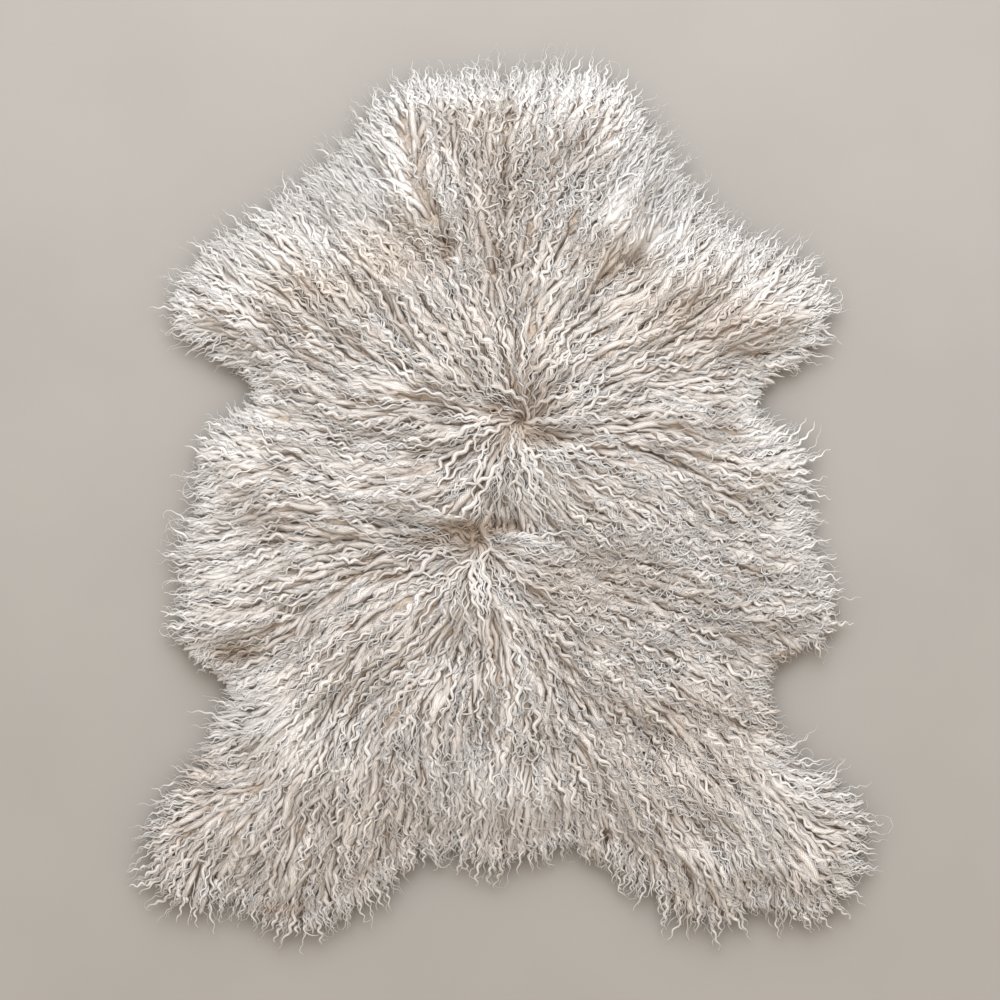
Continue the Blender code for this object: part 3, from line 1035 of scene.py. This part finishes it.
def wool_colours(tree, colours, under, white, beige, low):
    """The light colour of the wool and the dark colour of its gaps, painted shade, from where on the pelt
    it grows. Wool that lies under other wool takes this share of the root colour, as painted shade."""
    cream = {SHARE: white, FIRST: rgba(colours.cream), SECOND: rgba(colours.white)}
    cream = node(tree, "Mix", cream, MIXED, **COLOUR)
    stain = node(tree, "Math", (beige, 0.75), operation="MULTIPLY")
    stained = node(tree, "Mix", {SHARE: stain, FIRST: cream, SECOND: rgba(colours.beige)}, MIXED, **COLOUR)
    # Painted shade: wool under other wool and in low places takes the root colour, less where it is white.
    covered_shade = node(tree, "Math", (white, -0.6 * under, under), operation="MULTIPLY_ADD")
    kept = node(tree, "Math", (white, -0.5, 0.6), operation="MULTIPLY_ADD")
    low_place_shade = node(tree, "Math", (low, kept), operation="MULTIPLY")
    shaded = node(tree, "Math", (covered_shade, low_place_shade), operation="MAXIMUM")
    light = node(tree, "Mix", {SHARE: shaded, FIRST: stained, SECOND: rgba(colours.root)}, MIXED, **COLOUR)
    # The gaps' colour is painted shade, pale in the white wool.
    gap_shade = {SHARE: white, FIRST: rgba(colours.groove), SECOND: rgba(colours.pale_gap_shade)}
    gap_shade = node(tree, "Mix", gap_shade, MIXED, **COLOUR)
    # Creases take the gaps' colour: painted shade.
    crease = node(tree, "MapRange", (low, 0.5, 1.0, 0.0, 0.7), **SMOOTH)
    return node(tree, "Mix", {SHARE: crease, FIRST: light, SECOND: gap_shade}, MIXED, **COLOUR), gap_shade


class WoolLook(NamedTuple):
    """How the wool of one kind of lock is drawn."""

    strands: float  # strands round the lock
    fibres: float  # fibres round the lock
    groove: float  # how much of the gap's colour, painted shade, shows between the strands
    wander: float  # how far the strands stray sideways, in half strands
    relief: float  # how strongly the strands stand out
    wave: float = 0.0  # how far they swing together, in half strands, on a lock that is itself straight
    fade: float = 0.0  # how much of the gap's colour, painted shade, shows along the lock's two sides
    under: float = 0.0  # how much of the roots' colour, painted shade, the lock takes


UNDER_LOOK = WoolLook(8.0, 16.0, groove=0.85, wander=0.8, relief=0.6, wave=1.9, fade=0.7, under=0.3)
ROPE_LOOK = WoolLook(5.0, 10.0, groove=0.7, wander=0.35, relief=0.45, fade=0.35, under=0.15)
STRAND_LOOK = WoolLook(1.5, 4.0, groove=0.45, wander=0.12, relief=0.35)
EDGE_LOCK_LOOK = ROPE_LOOK._replace(strands=3.5, fibres=8.0, groove=0.5, fade=0.3, relief=0.4)
EDGE_STRAND_LOOK = STRAND_LOOK._replace(groove=0.35)
# Waves drawn on the pattern map, a crimp apart.
DRAWN_WAVE = 2.0 * math.pi * (MAP_UNIT / MM) / CRIMP


def wool_material(name, colours, look):
    """Undyed curly wool. Each lock is a bundle of fibres that cling together, so the eye sees bright crests
    along it, warm dark gaps between its strands, which are painted shade, and a dull soft gloss."""
    names = ("lock", "along", "wave", "tone", "white", "beige", "shade")
    material, tree, lock, along, wave, tone, white, beige, low = new_material(name, *names)
    uv = node(tree, "UVMap", uv_map="Fibres")
    around = node(tree, "SeparateXYZ", (uv,), "X")
    up = node(tree, "SeparateXYZ", (uv,), "Y")
    # Strands round the lock, parted by grooves that wander a little and take the gaps' colour, painted
    # shade.
    place = node(tree, "CombineXYZ", (up, lock))
    wobble = node(tree, "TexNoise", {"Vector": place, "Scale": 0.9, "Detail": 1.0})
    shift = node(tree, "Math", (wobble, 2.0 * look.wander, -look.wander), operation="MULTIPLY_ADD")
    if look.wave:
        phase = node(tree, "Math", (up, DRAWN_WAVE, wave), operation="MULTIPLY_ADD")
        swing = node(tree, "Math", (phase,), operation="SINE")
        shift = node(tree, "Math", (swing, look.wave, shift), operation="MULTIPLY_ADD")
    turns = node(tree, "Math", (around, 2.0 * look.strands, shift), operation="MULTIPLY_ADD")
    ridge = node(tree, "Math", (turns, 1.0), operation="PINGPONG")
    groove = node(tree, "MapRange", (ridge, 0.0, 0.75, 0.0, 1.0), **SMOOTH)
    # Fibres, the widest drawn 1 mm wide and about 12 mm long so that they show from above.
    place = node(tree, "CombineXYZ", (around, up, lock))
    place = node(tree, "VectorMath", (place, (look.fibres, 0.9, 1.0)), operation="MULTIPLY")
    fibres = node(tree, "TexNoise", {"Vector": place, "Scale": 1.0, "Detail": 3.0, "Roughness": 0.75})

    light, gap_shade = wool_colours(tree, colours, look.under, white, beige, low)
    # Towards its root a lock takes the gaps' colour: painted shade of the locks over it.
    grown = node(tree, "MapRange", (along, 0.0, 0.5, 0.35, 1.0), **SMOOTH)
    colour = node(tree, "Mix", {SHARE: grown, FIRST: gap_shade, SECOND: light}, MIXED, **COLOUR)
    for levels in ((tone, 0.0, 1.0, 0.8, 1.06), (fibres, 0.34, 0.66, 0.7, 1.12)):
        level = node(tree, "MapRange", levels, **SMOOTH)
        colour = darkened(tree, colour, calmed(tree, level, white))
    # The grooves between the strands take the gaps' colour: painted shade.
    grooved = node(tree, "MapRange", (groove, 0.0, 1.0, look.groove, 0.0), **SMOOTH)
    if look.fade:
        # The crest lies a third of the way round, and the two sides at 0 and two thirds. The sides take the
        # gaps' colour: painted shade.
        off = node(tree, "Math", (around, 1.0 / 3.0), operation="SUBTRACT")
        off = node(tree, "Math", (off,), operation="ABSOLUTE")
        side_shade_share = node(tree, "MapRange", (off, 0.2, 0.33, 0.0, look.fade), **SMOOTH)
        grooved = node(tree, "Math", (grooved, side_shade_share), operation="MAXIMUM")
    colour = node(tree, "Mix", {SHARE: grooved, FIRST: colour, SECOND: gap_shade}, MIXED, **COLOUR)
    height = node(tree, "Math", (fibres, 1.3, groove), operation="MULTIPLY_ADD")
    strength = node(tree, "MapRange", (white, 0.0, 1.0, look.relief, 0.3 * look.relief), **SMOOTH)
    rough = node(tree, "MapRange", (fibres, 0.3, 0.7, 0.72, 0.92), **SMOOTH)
    through = node(tree, "MapRange", (white, 0.1, 1.0, 0.0, 0.75), **SMOOTH)
    finish_shader(tree, colour, rough, height, 0.6 * MM, strength, 0.12, through)
    return material


def mat_material(colours):
    """Under-wool: short dense wool between the roots of the locks, wavy and without gloss, and painted
    darker as the shade between the locks.
    """
    material, tree, white, beige, low = new_material("Matted under-wool", "white", "beige", "shade")
    # The map follows the way the wool lies, in units of 10 mm. Waves 13 mm long swing 2 mm to each side,
    # out of step from one clump to the next, and strands are about 2 mm wide.
    uv = node(tree, "UVMap", uv_map="Fibres")
    across = node(tree, "SeparateXYZ", (uv,), "X")
    up = node(tree, "SeparateXYZ", (uv,), "Y")
    clump = node(tree, "TexNoise", {"Vector": uv, "Scale": 0.3, "Detail": 0.0})
    start = node(tree, "Math", (clump, 4.0), operation="MULTIPLY")
    phase = node(tree, "Math", (up, 4.8, start), operation="MULTIPLY_ADD")
    swing = node(tree, "Math", (phase,), operation="SINE")
    swayed = node(tree, "Math", (swing, 0.22, across), operation="MULTIPLY_ADD")
    place = node(tree, "CombineXYZ", (swayed, up))
    place = node(tree, "VectorMath", (place, (6.0, 0.55, 1.0)), operation="MULTIPLY")
    strands = node(tree, "TexNoise", {"Vector": place, "Scale": 1.0, "Detail": 3.0, "Roughness": 0.7})
    # Its strands take the root colour and, between them, the under-wool's colour: both painted shade, pale
    # in the white wool.
    light, _ = wool_colours(tree, colours, 0.8, white, beige, low)
    whitened = node(tree, "Math", (white, 0.55), operation="MULTIPLY")
    deep_shade = {SHARE: whitened, FIRST: rgba(colours.mat), SECOND: rgba(colours.pale_gap_shade)}
    deep_shade = node(tree, "Mix", deep_shade, MIXED, **COLOUR)
    crest = node(tree, "MapRange", (strands, 0.42, 0.72, 0.0, 1.0), **SMOOTH)
    colour = node(tree, "Mix", {SHARE: crest, FIRST: deep_shade, SECOND: light}, MIXED, **COLOUR)
    # Where the wool is white, the under-wool between the locks is painted darker and cooler, as the shade
    # of the locks over it.
    shaded = {SHARE: white, FIRST: colour, SECOND: (0.68, 0.71, 0.75, 1.0)}
    colour = node(tree, "Mix", shaded, MIXED, blend_type="MULTIPLY", **COLOUR)
    finish_shader(tree, colour, 0.95, strands, 1.2 * MM, 0.6, 0.1)
    return material


def suede_material(look):
    """Tanned sheep hide, flesh side, buffed to a nap: dull, mottled where the nap lies over, with faint
    veins and the line of the back."""
    material, tree = new_material("Tanned hide, buffed flesh side")
    place = node(tree, "TexCoord", output="Object")
    mottle = node(tree, "TexNoise", {"Vector": place, "Scale": 1.0 / (38.0 * MM), "Detail": 3.0})
    nap = node(tree, "TexNoise", {"Vector": place, "Scale": 1.0 / (0.9 * MM), "Detail": 2.0})
    lain = node(tree, "MapRange", (mottle, 0.35, 0.65, 0.0, 1.0), **SMOOTH)
    suede = {SHARE: lain, FIRST: rgba(look.suede), SECOND: rgba(look.suede_dark)}
    colour = node(tree, "Mix", suede, MIXED, **COLOUR)
    warp = node(tree, "TexNoise", {"Vector": place, "Scale": 9.0}, 1)
    warp = node(tree, "VectorMath", (warp, (0.06, 0.06, 0.06)), operation="MULTIPLY")
    warped = node(tree, "VectorMath", (place, warp), operation="ADD")
    edges = {"Vector": warped, "Scale": 9.0}
    vein = node(tree, "TexVoronoi", edges, "Distance", feature="DISTANCE_TO_EDGE")
    across = node(tree, "SeparateXYZ", (place,), "X")
    back = node(tree, "Math", (across,), operation="ABSOLUTE")
    for line, near, far in ((vein, 0.0, 0.05), (back, 0.004, 0.03)):
        share = node(tree, "MapRange", (line, near, far, 0.35, 0.0), **SMOOTH)
        colour = node(tree, "Mix", {SHARE: share, FIRST: colour, SECOND: rgba(look.mark)}, MIXED, **COLOUR)
    colour = darkened(tree, colour, node(tree, "MapRange", (nap, 0.3, 0.7, 0.9, 1.05), **SMOOTH))
    finish_shader(tree, colour, 0.88, nap, 0.3 * MM, 0.5, 0.3)
    return material


def floor_material(look):
    """A plain matt floor, with a faint unevenness so that it doesn't look cut from paper."""
    material, tree = new_material("Matt floor")
    place = node(tree, "TexCoord", output="Object")
    cloud = node(tree, "TexNoise", {"Vector": place, "Scale": 5.0, "Detail": 3.0})
    level = node(tree, "MapRange", (cloud, 0.3, 0.7, 0.975, 1.02), **SMOOTH)
    colour = darkened(tree, rgba(look.floor), level)
    grain = node(tree, "TexNoise", {"Vector": place, "Scale": 700.0, "Detail": 2.0})
    finish_shader(tree, colour, 0.9, grain, 0.3 * MM, 0.15, 0.0)
    return material


# ---------------------------------------------------------------------------------------------------------
# Pieces.


class RUG_OT_hide(bpy.types.Operator):
    """Adds the tanned hide, a flat sheet of skin under the wool"""

    bl_idname = "rug.add_hide"
    bl_label = "Tanned hide"

    def execute(self, context):
        look = context.scene.hide_look
        mesh = bpy.data.meshes.new("tanned_hide")
        outline = [(*p, 0.0) for p in pelt.outline]
        mesh.from_pydata(outline, [], [list(range(len(outline)))])
        piece = bpy.data.objects.new("tanned_hide", mesh)
        context.scene.collection.objects.link(piece)
        bpy.ops.object.select_all(action="DESELECT")
        piece.select_set(True)
        context.view_layer.objects.active = piece
        bpy.ops.object.mode_set(mode="EDIT")
        bpy.ops.mesh.select_all(action="SELECT")
        bpy.ops.mesh.normals_make_consistent(inside=False)
        bpy.ops.object.mode_set(mode="OBJECT")
        if mesh.polygons[0].normal.z < 0.0:
            mesh.flip_normals()
        thick = piece.modifiers.new("Thickness", "SOLIDIFY")
        thick.thickness = look.thickness
        thick.offset = 1.0
        bpy.ops.object.modifier_apply(modifier=thick.name)
        edge = piece.modifiers.new("Trimmed edge", "BEVEL")
        edge.width = look.rounding
        edge.segments = 2
        edge.limit_method = "ANGLE"
        bpy.ops.object.modifier_apply(modifier=edge.name)
        mesh.materials.append(suede_material(look))
        bpy.ops.object.shade_smooth_by_angle(angle=math.radians(40.0))
        dress(piece, "hide")
        return {"FINISHED"}


def vertex_places(mesh):
    """The place of every vertex, as rows of three."""
    places = np.empty(len(mesh.vertices) * 3)
    mesh.vertices.foreach_get("co", places)
    return places.reshape(-1, 3)


def from_mat_edge(points):
    """Distance to the uneven edge of the under-wool, above 0 inside it."""
    pitch, stray = MAT_RAGGED
    ragged = stray * smooth_noise(points, pitch, 22)
    return pelt.sample(pelt.inside, points) + ragged + MAT_OVERHANG


def mat_heights(points, foot):
    """The height of the under-wool, which thins out towards its edge, where the hanging locks cover it."""
    white = pelt.sample(pelt.white, points)
    pitch, lump = MAT_LUMPS
    depth = bpy.context.scene.wool_sizes.mat_depth * (1.0 - MAT_WHITE * white)
    lumps = lump * smooth_noise(points, pitch, 21) * (1.0 - white)
    top = pelt.sample(pelt.top, points) - depth + lumps
    full = MAT_EDGE_SHARE + (1.0 - MAT_EDGE_SHARE) * smooth_step(from_mat_edge(points) / MAT_SLOPE)
    return np.maximum(foot + (top - foot) * full, foot + MAT_LEAST)


def add_lie_map(mesh):
    """A map whose second axis runs the way the wool lies: distance from between the whorls, and the angle
    round that point. It has as many strands round it as are about 2 mm wide, twice as many at each doubling
    of the distance. A face takes all its values from its first corner's band and side."""
    corners = np.empty(len(mesh.loops), int)
    mesh.loops.foreach_get("vertex_index", corners)
    middle = (np.array(FORE_WHORL) + np.array(HIND_WHORL)) / 2.0 * MM
    off = vertex_places(mesh)[corners, :2] - middle
    away = np.linalg.norm(off, axis=1)
    angle = np.arctan2(off[:, 0], off[:, 1])
    starts = np.empty(len(mesh.polygons), int)
    totals = np.empty(len(mesh.polygons), int)
    mesh.polygons.foreach_get("loop_start", starts)
    mesh.polygons.foreach_get("loop_total", totals)
    first = np.repeat(starts, totals)
    band = np.floor(np.log2(np.maximum(away[first], INNER_BAND) / INNER_BAND))
    angle -= 2.0 * math.pi * np.round((angle - angle[first]) / (2.0 * math.pi))
    radius = BAND_MIDDLE * INNER_BAND * 2.0**band
    add_map(mesh, "Fibres", np.stack((angle * radius, away), axis=-1) / MAP_UNIT)


class RUG_OT_under_wool(bpy.types.Operator):
    """Adds the under-wool, the matted lumpy layer that the locks grow through"""

    bl_idname = "rug.add_under_wool"
    bl_label = "Under-wool"

    def execute(self, context):
        low, high = pelt.points[0, 0], pelt.points[-1, -1]
        size = high - low
        bpy.ops.object.select_all(action="DESELECT")
        bpy.ops.mesh.primitive_grid_add(
            x_subdivisions=int(size[0] / MAT_PITCH),
            y_subdivisions=int(size[1] / MAT_PITCH),
            size=1.0,
            location=(*((low + high) / 2.0), 0.0),
        )
        piece = context.active_object
        piece.name = "under_wool"
        piece.scale = (size[0], size[1], 1.0)
        bpy.ops.object.transform_apply(location=True, rotation=True, scale=True)
        mesh = piece.data
        outside = np.flatnonzero(from_mat_edge(vertex_places(mesh)[:, :2]) < 0.0)
        shaped = bmesh.new()
        shaped.from_mesh(mesh)
        shaped.verts.ensure_lookup_table()
        bmesh.ops.delete(shaped, geom=[shaped.verts[i] for i in outside], context="VERTS")
        loose = [v for v in shaped.verts if not v.link_faces]
        bmesh.ops.delete(shaped, geom=loose, context="VERTS")
        # The rim is drawn out to the edge.
        rim = [v for v in shaped.verts if v.is_boundary]
        flat = np.array([v.co[:2] for v in rim])
        drawn = flat + unit(pelt.sample(pelt.out, flat)) * from_mat_edge(flat)[:, None]
        for v, place in zip(rim, drawn):
            v.co.x, v.co.y = place
        foot = context.scene.hide_look.thickness + MAT_GAP
        points = np.array([v.co[:2] for v in shaped.verts])
        for v, height in zip(shaped.verts, mat_heights(points, foot)):
            v.co.z = height
        # The wall falls to the foot, which lies just above the hide.
        edges = [e for e in shaped.edges if e.is_boundary]
        made = bmesh.ops.extrude_edge_only(shaped, edges=edges)["geom"]
        for v in made:
            if isinstance(v, bmesh.types.BMVert):
                v.co.z = foot
        foot_edges = [e for e in made if isinstance(e, bmesh.types.BMEdge) and e.is_boundary]
        bmesh.ops.contextual_create(shaped, geom=foot_edges)
        bmesh.ops.recalc_face_normals(shaped, faces=shaped.faces)
        shaped.to_mesh(mesh)
        shaped.free()
        mesh.shade_smooth()
        while mesh.uv_layers:
            mesh.uv_layers.remove(mesh.uv_layers[0])
        add_lie_map(mesh)
        add_places(mesh, vertex_places(mesh)[:, :2])
        mesh.materials.append(mat_material(context.scene.wool_colours))
        dress(piece, "fleece")
        return {"FINISHED"}


def lock_kinds(sizes):
    """Every kind of lock, from the wool's sizes. Lengths are in millimetres."""
    rope, strand, crimp = sizes.rope_width / MM, sizes.strand_width / MM, sizes.crimp / MM
    swing, ring, sink = sizes.crimp_height / MM, sizes.ring / MM, -sizes.sink / MM

    def widths(width, *shares):
        return tuple(width * share for share in shares)

    kinds = {}
    kinds["rope"] = LockKind(
        steps=15,
        widths=widths(rope, 0.6, 1.0, 0.9, 0.2),
        uneven=0.2,
        thickness=0.3,
        crimp=crimp * 1.15,
        swing=swing,
        lifts=(sink, -1.0, -0.2, -0.2),
        stray=0.04,
        loose=0.2,
        hooked=0.05,
    )
    kinds["under lock"] = kinds["rope"]._replace(
        steps=5,
        widths=widths(sizes.under_width / MM, 0.7, 1.0, 0.95, 0.4),
        thickness=0.13,
        crimp=46.0,
        swing=0.0,
        rise=0.0,
        lifts=(sink, -2.4, -1.8, -2.2),
        hooked=0.0,
    )
    kinds["whorl rope"] = kinds["rope"]._replace(
        steps=24,
        widths=widths(rope * 1.15, 0.6, 1.0, 0.75, 0.25),
        thickness=0.45,
        lifts=(-3.0, 0.6, 1.8, 1.2),
        stray=0.3,
    )
    kinds["strand"] = LockKind(
        steps=24,
        widths=widths(strand, 0.7, 1.0, 0.9, 0.4),
        uneven=0.25,
        thickness=0.6,
        crimp=crimp,
        swing=swing,
        loop=0.1,
        lifts=(sink, 0.8, 1.1, 0.6),
        stray=0.07,
        loose=0.6,
        hooked=0.25,
    )
    kinds["whorl strand"] = kinds["strand"]._replace(lifts=(-2.0, 2.4, 3.2, 2.0))
    kinds["ringlet"] = kinds["strand"]._replace(
        steps=22,
        crimp=crimp * 0.85,
        swing=ring,
        rise=1.0,
        loop=ring * 0.6,
        lifts=(-3.0, 1.2, 1.8, 1.4),
        stray=0.45,
        loose=1.2,
    )
    kinds["flyaway"] = kinds["strand"]._replace(
        steps=16,
        widths=widths(strand, 0.45, 0.6, 0.5, 0.3),
        thickness=0.8,
        crimp=crimp * 1.1,
        rise=0.8,
        loop=0.3,
        lifts=(0.0, 2.4, 3.2, 2.4),
        stray=0.3,
        loose=2.0,
        hooked=0.4,
    )
    kinds["edge lock"] = LockKind(
        steps=17,
        widths=widths(rope * 1.25, 0.5, 0.65, 0.42, 0.08),
        uneven=0.25,
        thickness=0.4,
        crimp=crimp,
        swing=swing * 0.9,
        lifts=(-4.0, -0.6, 0.2, 0.0),
        stray=0.12,
        loose=0.5,
        hooked=0.12,
        outwards=0.35,
        reach=(8.0, 42.0),
        gather=0.9,
    )
    kinds["edge strand"] = kinds["edge lock"]._replace(
        widths=widths(strand, 0.7, 0.95, 0.8, 0.3),
        thickness=0.7,
        swing=swing * 0.8,
        loop=0.1,
        lifts=(-3.0, 0.4, 0.9, 0.6),
        stray=0.18,
        loose=0.7,
        hooked=0.2,
    )
    kinds["hanging lock"] = kinds["edge lock"]._replace(
        steps=11, outwards=0.5, reach=(2.0, 20.0), hang=(0.35, 0.95)
    )
    kinds["hanging strand"] = kinds["edge strand"]._replace(
        steps=11, outwards=0.5, reach=(4.0, 24.0), hang=(0.25, 0.85)
    )
    return kinds


class Wool:
    """Grows locks of every kind, with one run of random draws and one set of materials."""

    def __init__(self, scene, seed):
        self.kinds = lock_kinds(scene.wool_sizes)
        self.colours = scene.wool_colours
        self.rng = np.random.default_rng(seed)

    def grow(self, base, kind, roots, clumps, tones, material, parts=1):
        """Grows the locks and joins them into a few pieces, front to back."""
        order = np.argsort(-roots[:, 1])
        tone = self.rng.uniform(*tones, len(roots))
        for i, which in enumerate(np.array_split(order, parts)):
            grown = grow(self.kinds[kind], roots[which], chosen(clumps, which), self.rng)
            dress(lock_mesh(f"{base}_{i + 1}", grown, tone[which], material), "fleece")

    def grow_beside(self, base, kind, roots, clumps, which, beside, material, parts=1):
        """Grows strands beside the chosen locks, in step with them."""
        lie = wool_lie(roots[which])
        aside = np.stack((-lie[:, 1], lie[:, 0]), axis=-1)
        shift = self.rng.uniform(-ROOT_SHIFT, ROOT_SHIFT, (len(which), 1))
        starts = roots[which] + aside * beside[:, None] + lie * shift * MM
        own = {**chosen(clumps, which), "beside": beside}
        self.grow(base, kind, starts, own, STRAND_TONES, material, parts)


class RUG_OT_locks(bpy.types.Operator):
    """Adds the locks of the body: thick ropes of wool, and fine strands and ringlets over them"""

    bl_idname = "rug.add_locks"
    bl_label = "Locks"

    def execute(self, context):
        wool = Wool(context.scene, 31)
        rng, sizes, colours = wool.rng, context.scene.wool_sizes, wool.colours
        under_wool = wool_material("Curly wool, under locks", colours, UNDER_LOOK)
        rope_wool = wool_material("Curly wool, thick locks", colours, ROPE_LOOK)
        fine_wool = wool_material("Curly wool, fine strands", colours, STRAND_LOOK)
        roots = spread_roots(sizes.under_spacing, 0.0, rng)
        wool.grow("under_locks", "under lock", roots, clump_values(roots, rng), LOCK_TONES, under_wool)

        roots = whorl_roots(rng)
        clumps = clump_values(roots, rng)
        wool.grow("whorl_ropes", "whorl rope", roots, clumps, WHORL_TONES, rope_wool)
        twice = np.tile(np.arange(len(roots)), 2)
        beside = rng.uniform(*WHORL_BESIDE, len(twice)) * np.repeat((1.0, -1.0), len(roots)) * MM
        wool.grow_beside("whorl_strands", "whorl strand", roots, clumps, twice, beside, fine_wool)

        roots = spread_roots(sizes.spacing, 2.0 * MM, rng)
        roots = roots[outside_whorls(roots)]
        clumps = clump_values(roots, rng)
        wool.grow("rope_locks", "rope", roots, clumps, LOCK_TONES, rope_wool, 2)
        is_ringed = rng.random(len(roots)) < part_strength(roots, RING_PARTS) * RINGED
        plain = np.flatnonzero(~is_ringed)
        second = plain[rng.random(len(plain)) < SECOND_STRANDS]
        twice = np.concatenate((plain, second))
        beside = np.repeat((STRAND_BESIDE, -STRAND_BESIDE), (len(plain), len(second))) * MM
        beside *= rng.uniform(*BESIDE_SPREAD, len(twice))
        wool.grow_beside("fine_strands", "strand", roots, clumps, twice, beside, fine_wool, 3)
        ringed = np.flatnonzero(is_ringed)
        third = ringed[rng.random(len(ringed)) < THIRD_RINGLETS]
        rings = np.concatenate((ringed, ringed, third))
        beside = rng.uniform(-RINGLET_BESIDE, RINGLET_BESIDE, len(rings)) * MM
        wool.grow_beside("ringlets", "ringlet", roots, clumps, rings, beside, fine_wool, 2)
        loose = np.flatnonzero(rng.random(len(roots)) < FLYAWAYS)
        beside = rng.uniform(-FLYAWAY_BESIDE, FLYAWAY_BESIDE, len(loose)) * MM
        wool.grow_beside("flyaway_hairs", "flyaway", roots, clumps, loose, beside, fine_wool)
        return {"FINISHED"}


class RUG_OT_edge(bpy.types.Operator):
    """Adds the loose locks of the edge, and a lower row of short ones that hang down to the floor"""

    bl_idname = "rug.add_edge"
    bl_label = "Edge locks"

    def execute(self, context):
        wool = Wool(context.scene, 57)
        rng = wool.rng
        lock_wool = wool_material("Curly wool, edge locks", wool.colours, EDGE_LOCK_LOOK)
        strand_wool = wool_material("Curly wool, edge strands", wool.colours, EDGE_STRAND_LOOK)
        for kind, spacing, depth, strands, aside in EDGE_ROWS:
            roots = spread_roots(spacing, EDGE_START, rng)
            roots = roots[pelt.sample(pelt.inside, roots) < depth]
            clumps = clump_values(roots, rng)
            wool.grow(f"{kind}_locks", f"{kind} lock", roots, clumps, LOCK_TONES, lock_wool)
            which = np.repeat(np.arange(len(roots)), strands)
            beside = rng.uniform(-aside, aside, len(which)) * MM
            wool.grow_beside(f"{kind}_strands", f"{kind} strand", roots, clumps, which, beside, strand_wool)
        return {"FINISHED"}


class RUG_OT_stage(bpy.types.Operator):
    """Adds the floor, the lights and the camera"""

    bl_idname = "rug.add_stage"
    bl_label = "Floor, lights and camera"

    def execute(self, context):
        scene = context.scene
        look = scene.stage_look
        bpy.ops.object.select_all(action="DESELECT")
        bpy.ops.mesh.primitive_plane_add(size=look.reach, location=(0.0, 0.0, 0.0))
        floor = context.active_object
        floor.name = "floor"
        floor.data.materials.append(floor_material(look))

        world = bpy.data.worlds.new("Soft room light")
        world.use_nodes = True
        back = world.node_tree.nodes["Background"]
        back.inputs[0].default_value = ROOM_COLOUR
        back.inputs[1].default_value = look.fill
        scene.world = world
        light = bpy.data.lights.new("Window light", "AREA")
        light.shape = "DISK"
        light.size = LAMP_WIDTH
        light.energy = look.key_power
        light.color = LAMP_COLOUR
        lamp = bpy.data.objects.new("Window light", light)
        scene.collection.objects.link(lamp)
        lamp.location = LAMP_PLACE
        lamp.rotation_euler = (-lamp.location).to_track_quat("-Z", "Y").to_euler()

        camera = bpy.data.cameras.new("Camera above")
        camera.sensor_width = SENSOR
        camera.lens = SENSOR * (CAMERA_HEIGHT - WOOL_HEIGHT)
        camera.clip_end = 30.0
        above = bpy.data.objects.new("Camera above", camera)
        above.location = (*PICTURE_MIDDLE, CAMERA_HEIGHT)
        scene.collection.objects.link(above)
        scene.camera = above
        scene.view_settings.view_transform = "Standard"
        return {"FINISHED"}


class RUG_PT_panel(bpy.types.Panel):
    """Lists the parts of the sheepskin rug"""

    bl_label = "Sheepskin rug"
    bl_idname = "RUG_PT_panel"
    bl_space_type = "VIEW_3D"
    bl_region_type = "UI"
    bl_category = "Sheepskin"

    def draw(self, context):
        for operator in OPERATORS:
            self.layout.operator(operator.bl_idname)
        for group in GROUPS:
            box = self.layout.box()
            box.label(text=group)
            held = getattr(context.scene, group)
            for name in held.bl_rna.properties.keys():
                if name not in ("name", "rna_type"):
                    box.prop(held, name)


OPERATORS = (RUG_OT_stage, RUG_OT_hide, RUG_OT_under_wool, RUG_OT_locks, RUG_OT_edge)
GROUPS = {
    "wool_sizes": WoolSizes,
    "wool_colours": WoolColours,
    "hide_look": HideLook,
    "stage_look": StageLook,
}


def register():
    for made in (*GROUPS.values(), *OPERATORS, RUG_PT_panel):
        bpy.utils.register_class(made)
    for name, group in GROUPS.items():
        setattr(bpy.types.Scene, name, PointerProperty(type=group))


def unregister():
    for name in GROUPS:
        delattr(bpy.types.Scene, name)
    for made in reversed((*GROUPS.values(), *OPERATORS, RUG_PT_panel)):
        bpy.utils.unregister_class(made)


def main():
    global pelt
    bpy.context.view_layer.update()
    pelt = Pelt()
    pelt.add_tufts()
    register()
    for operator in OPERATORS:
        group, name = operator.bl_idname.split(".")
        getattr(getattr(bpy.ops, group), name)()


if __name__ == "__main__":
    main()
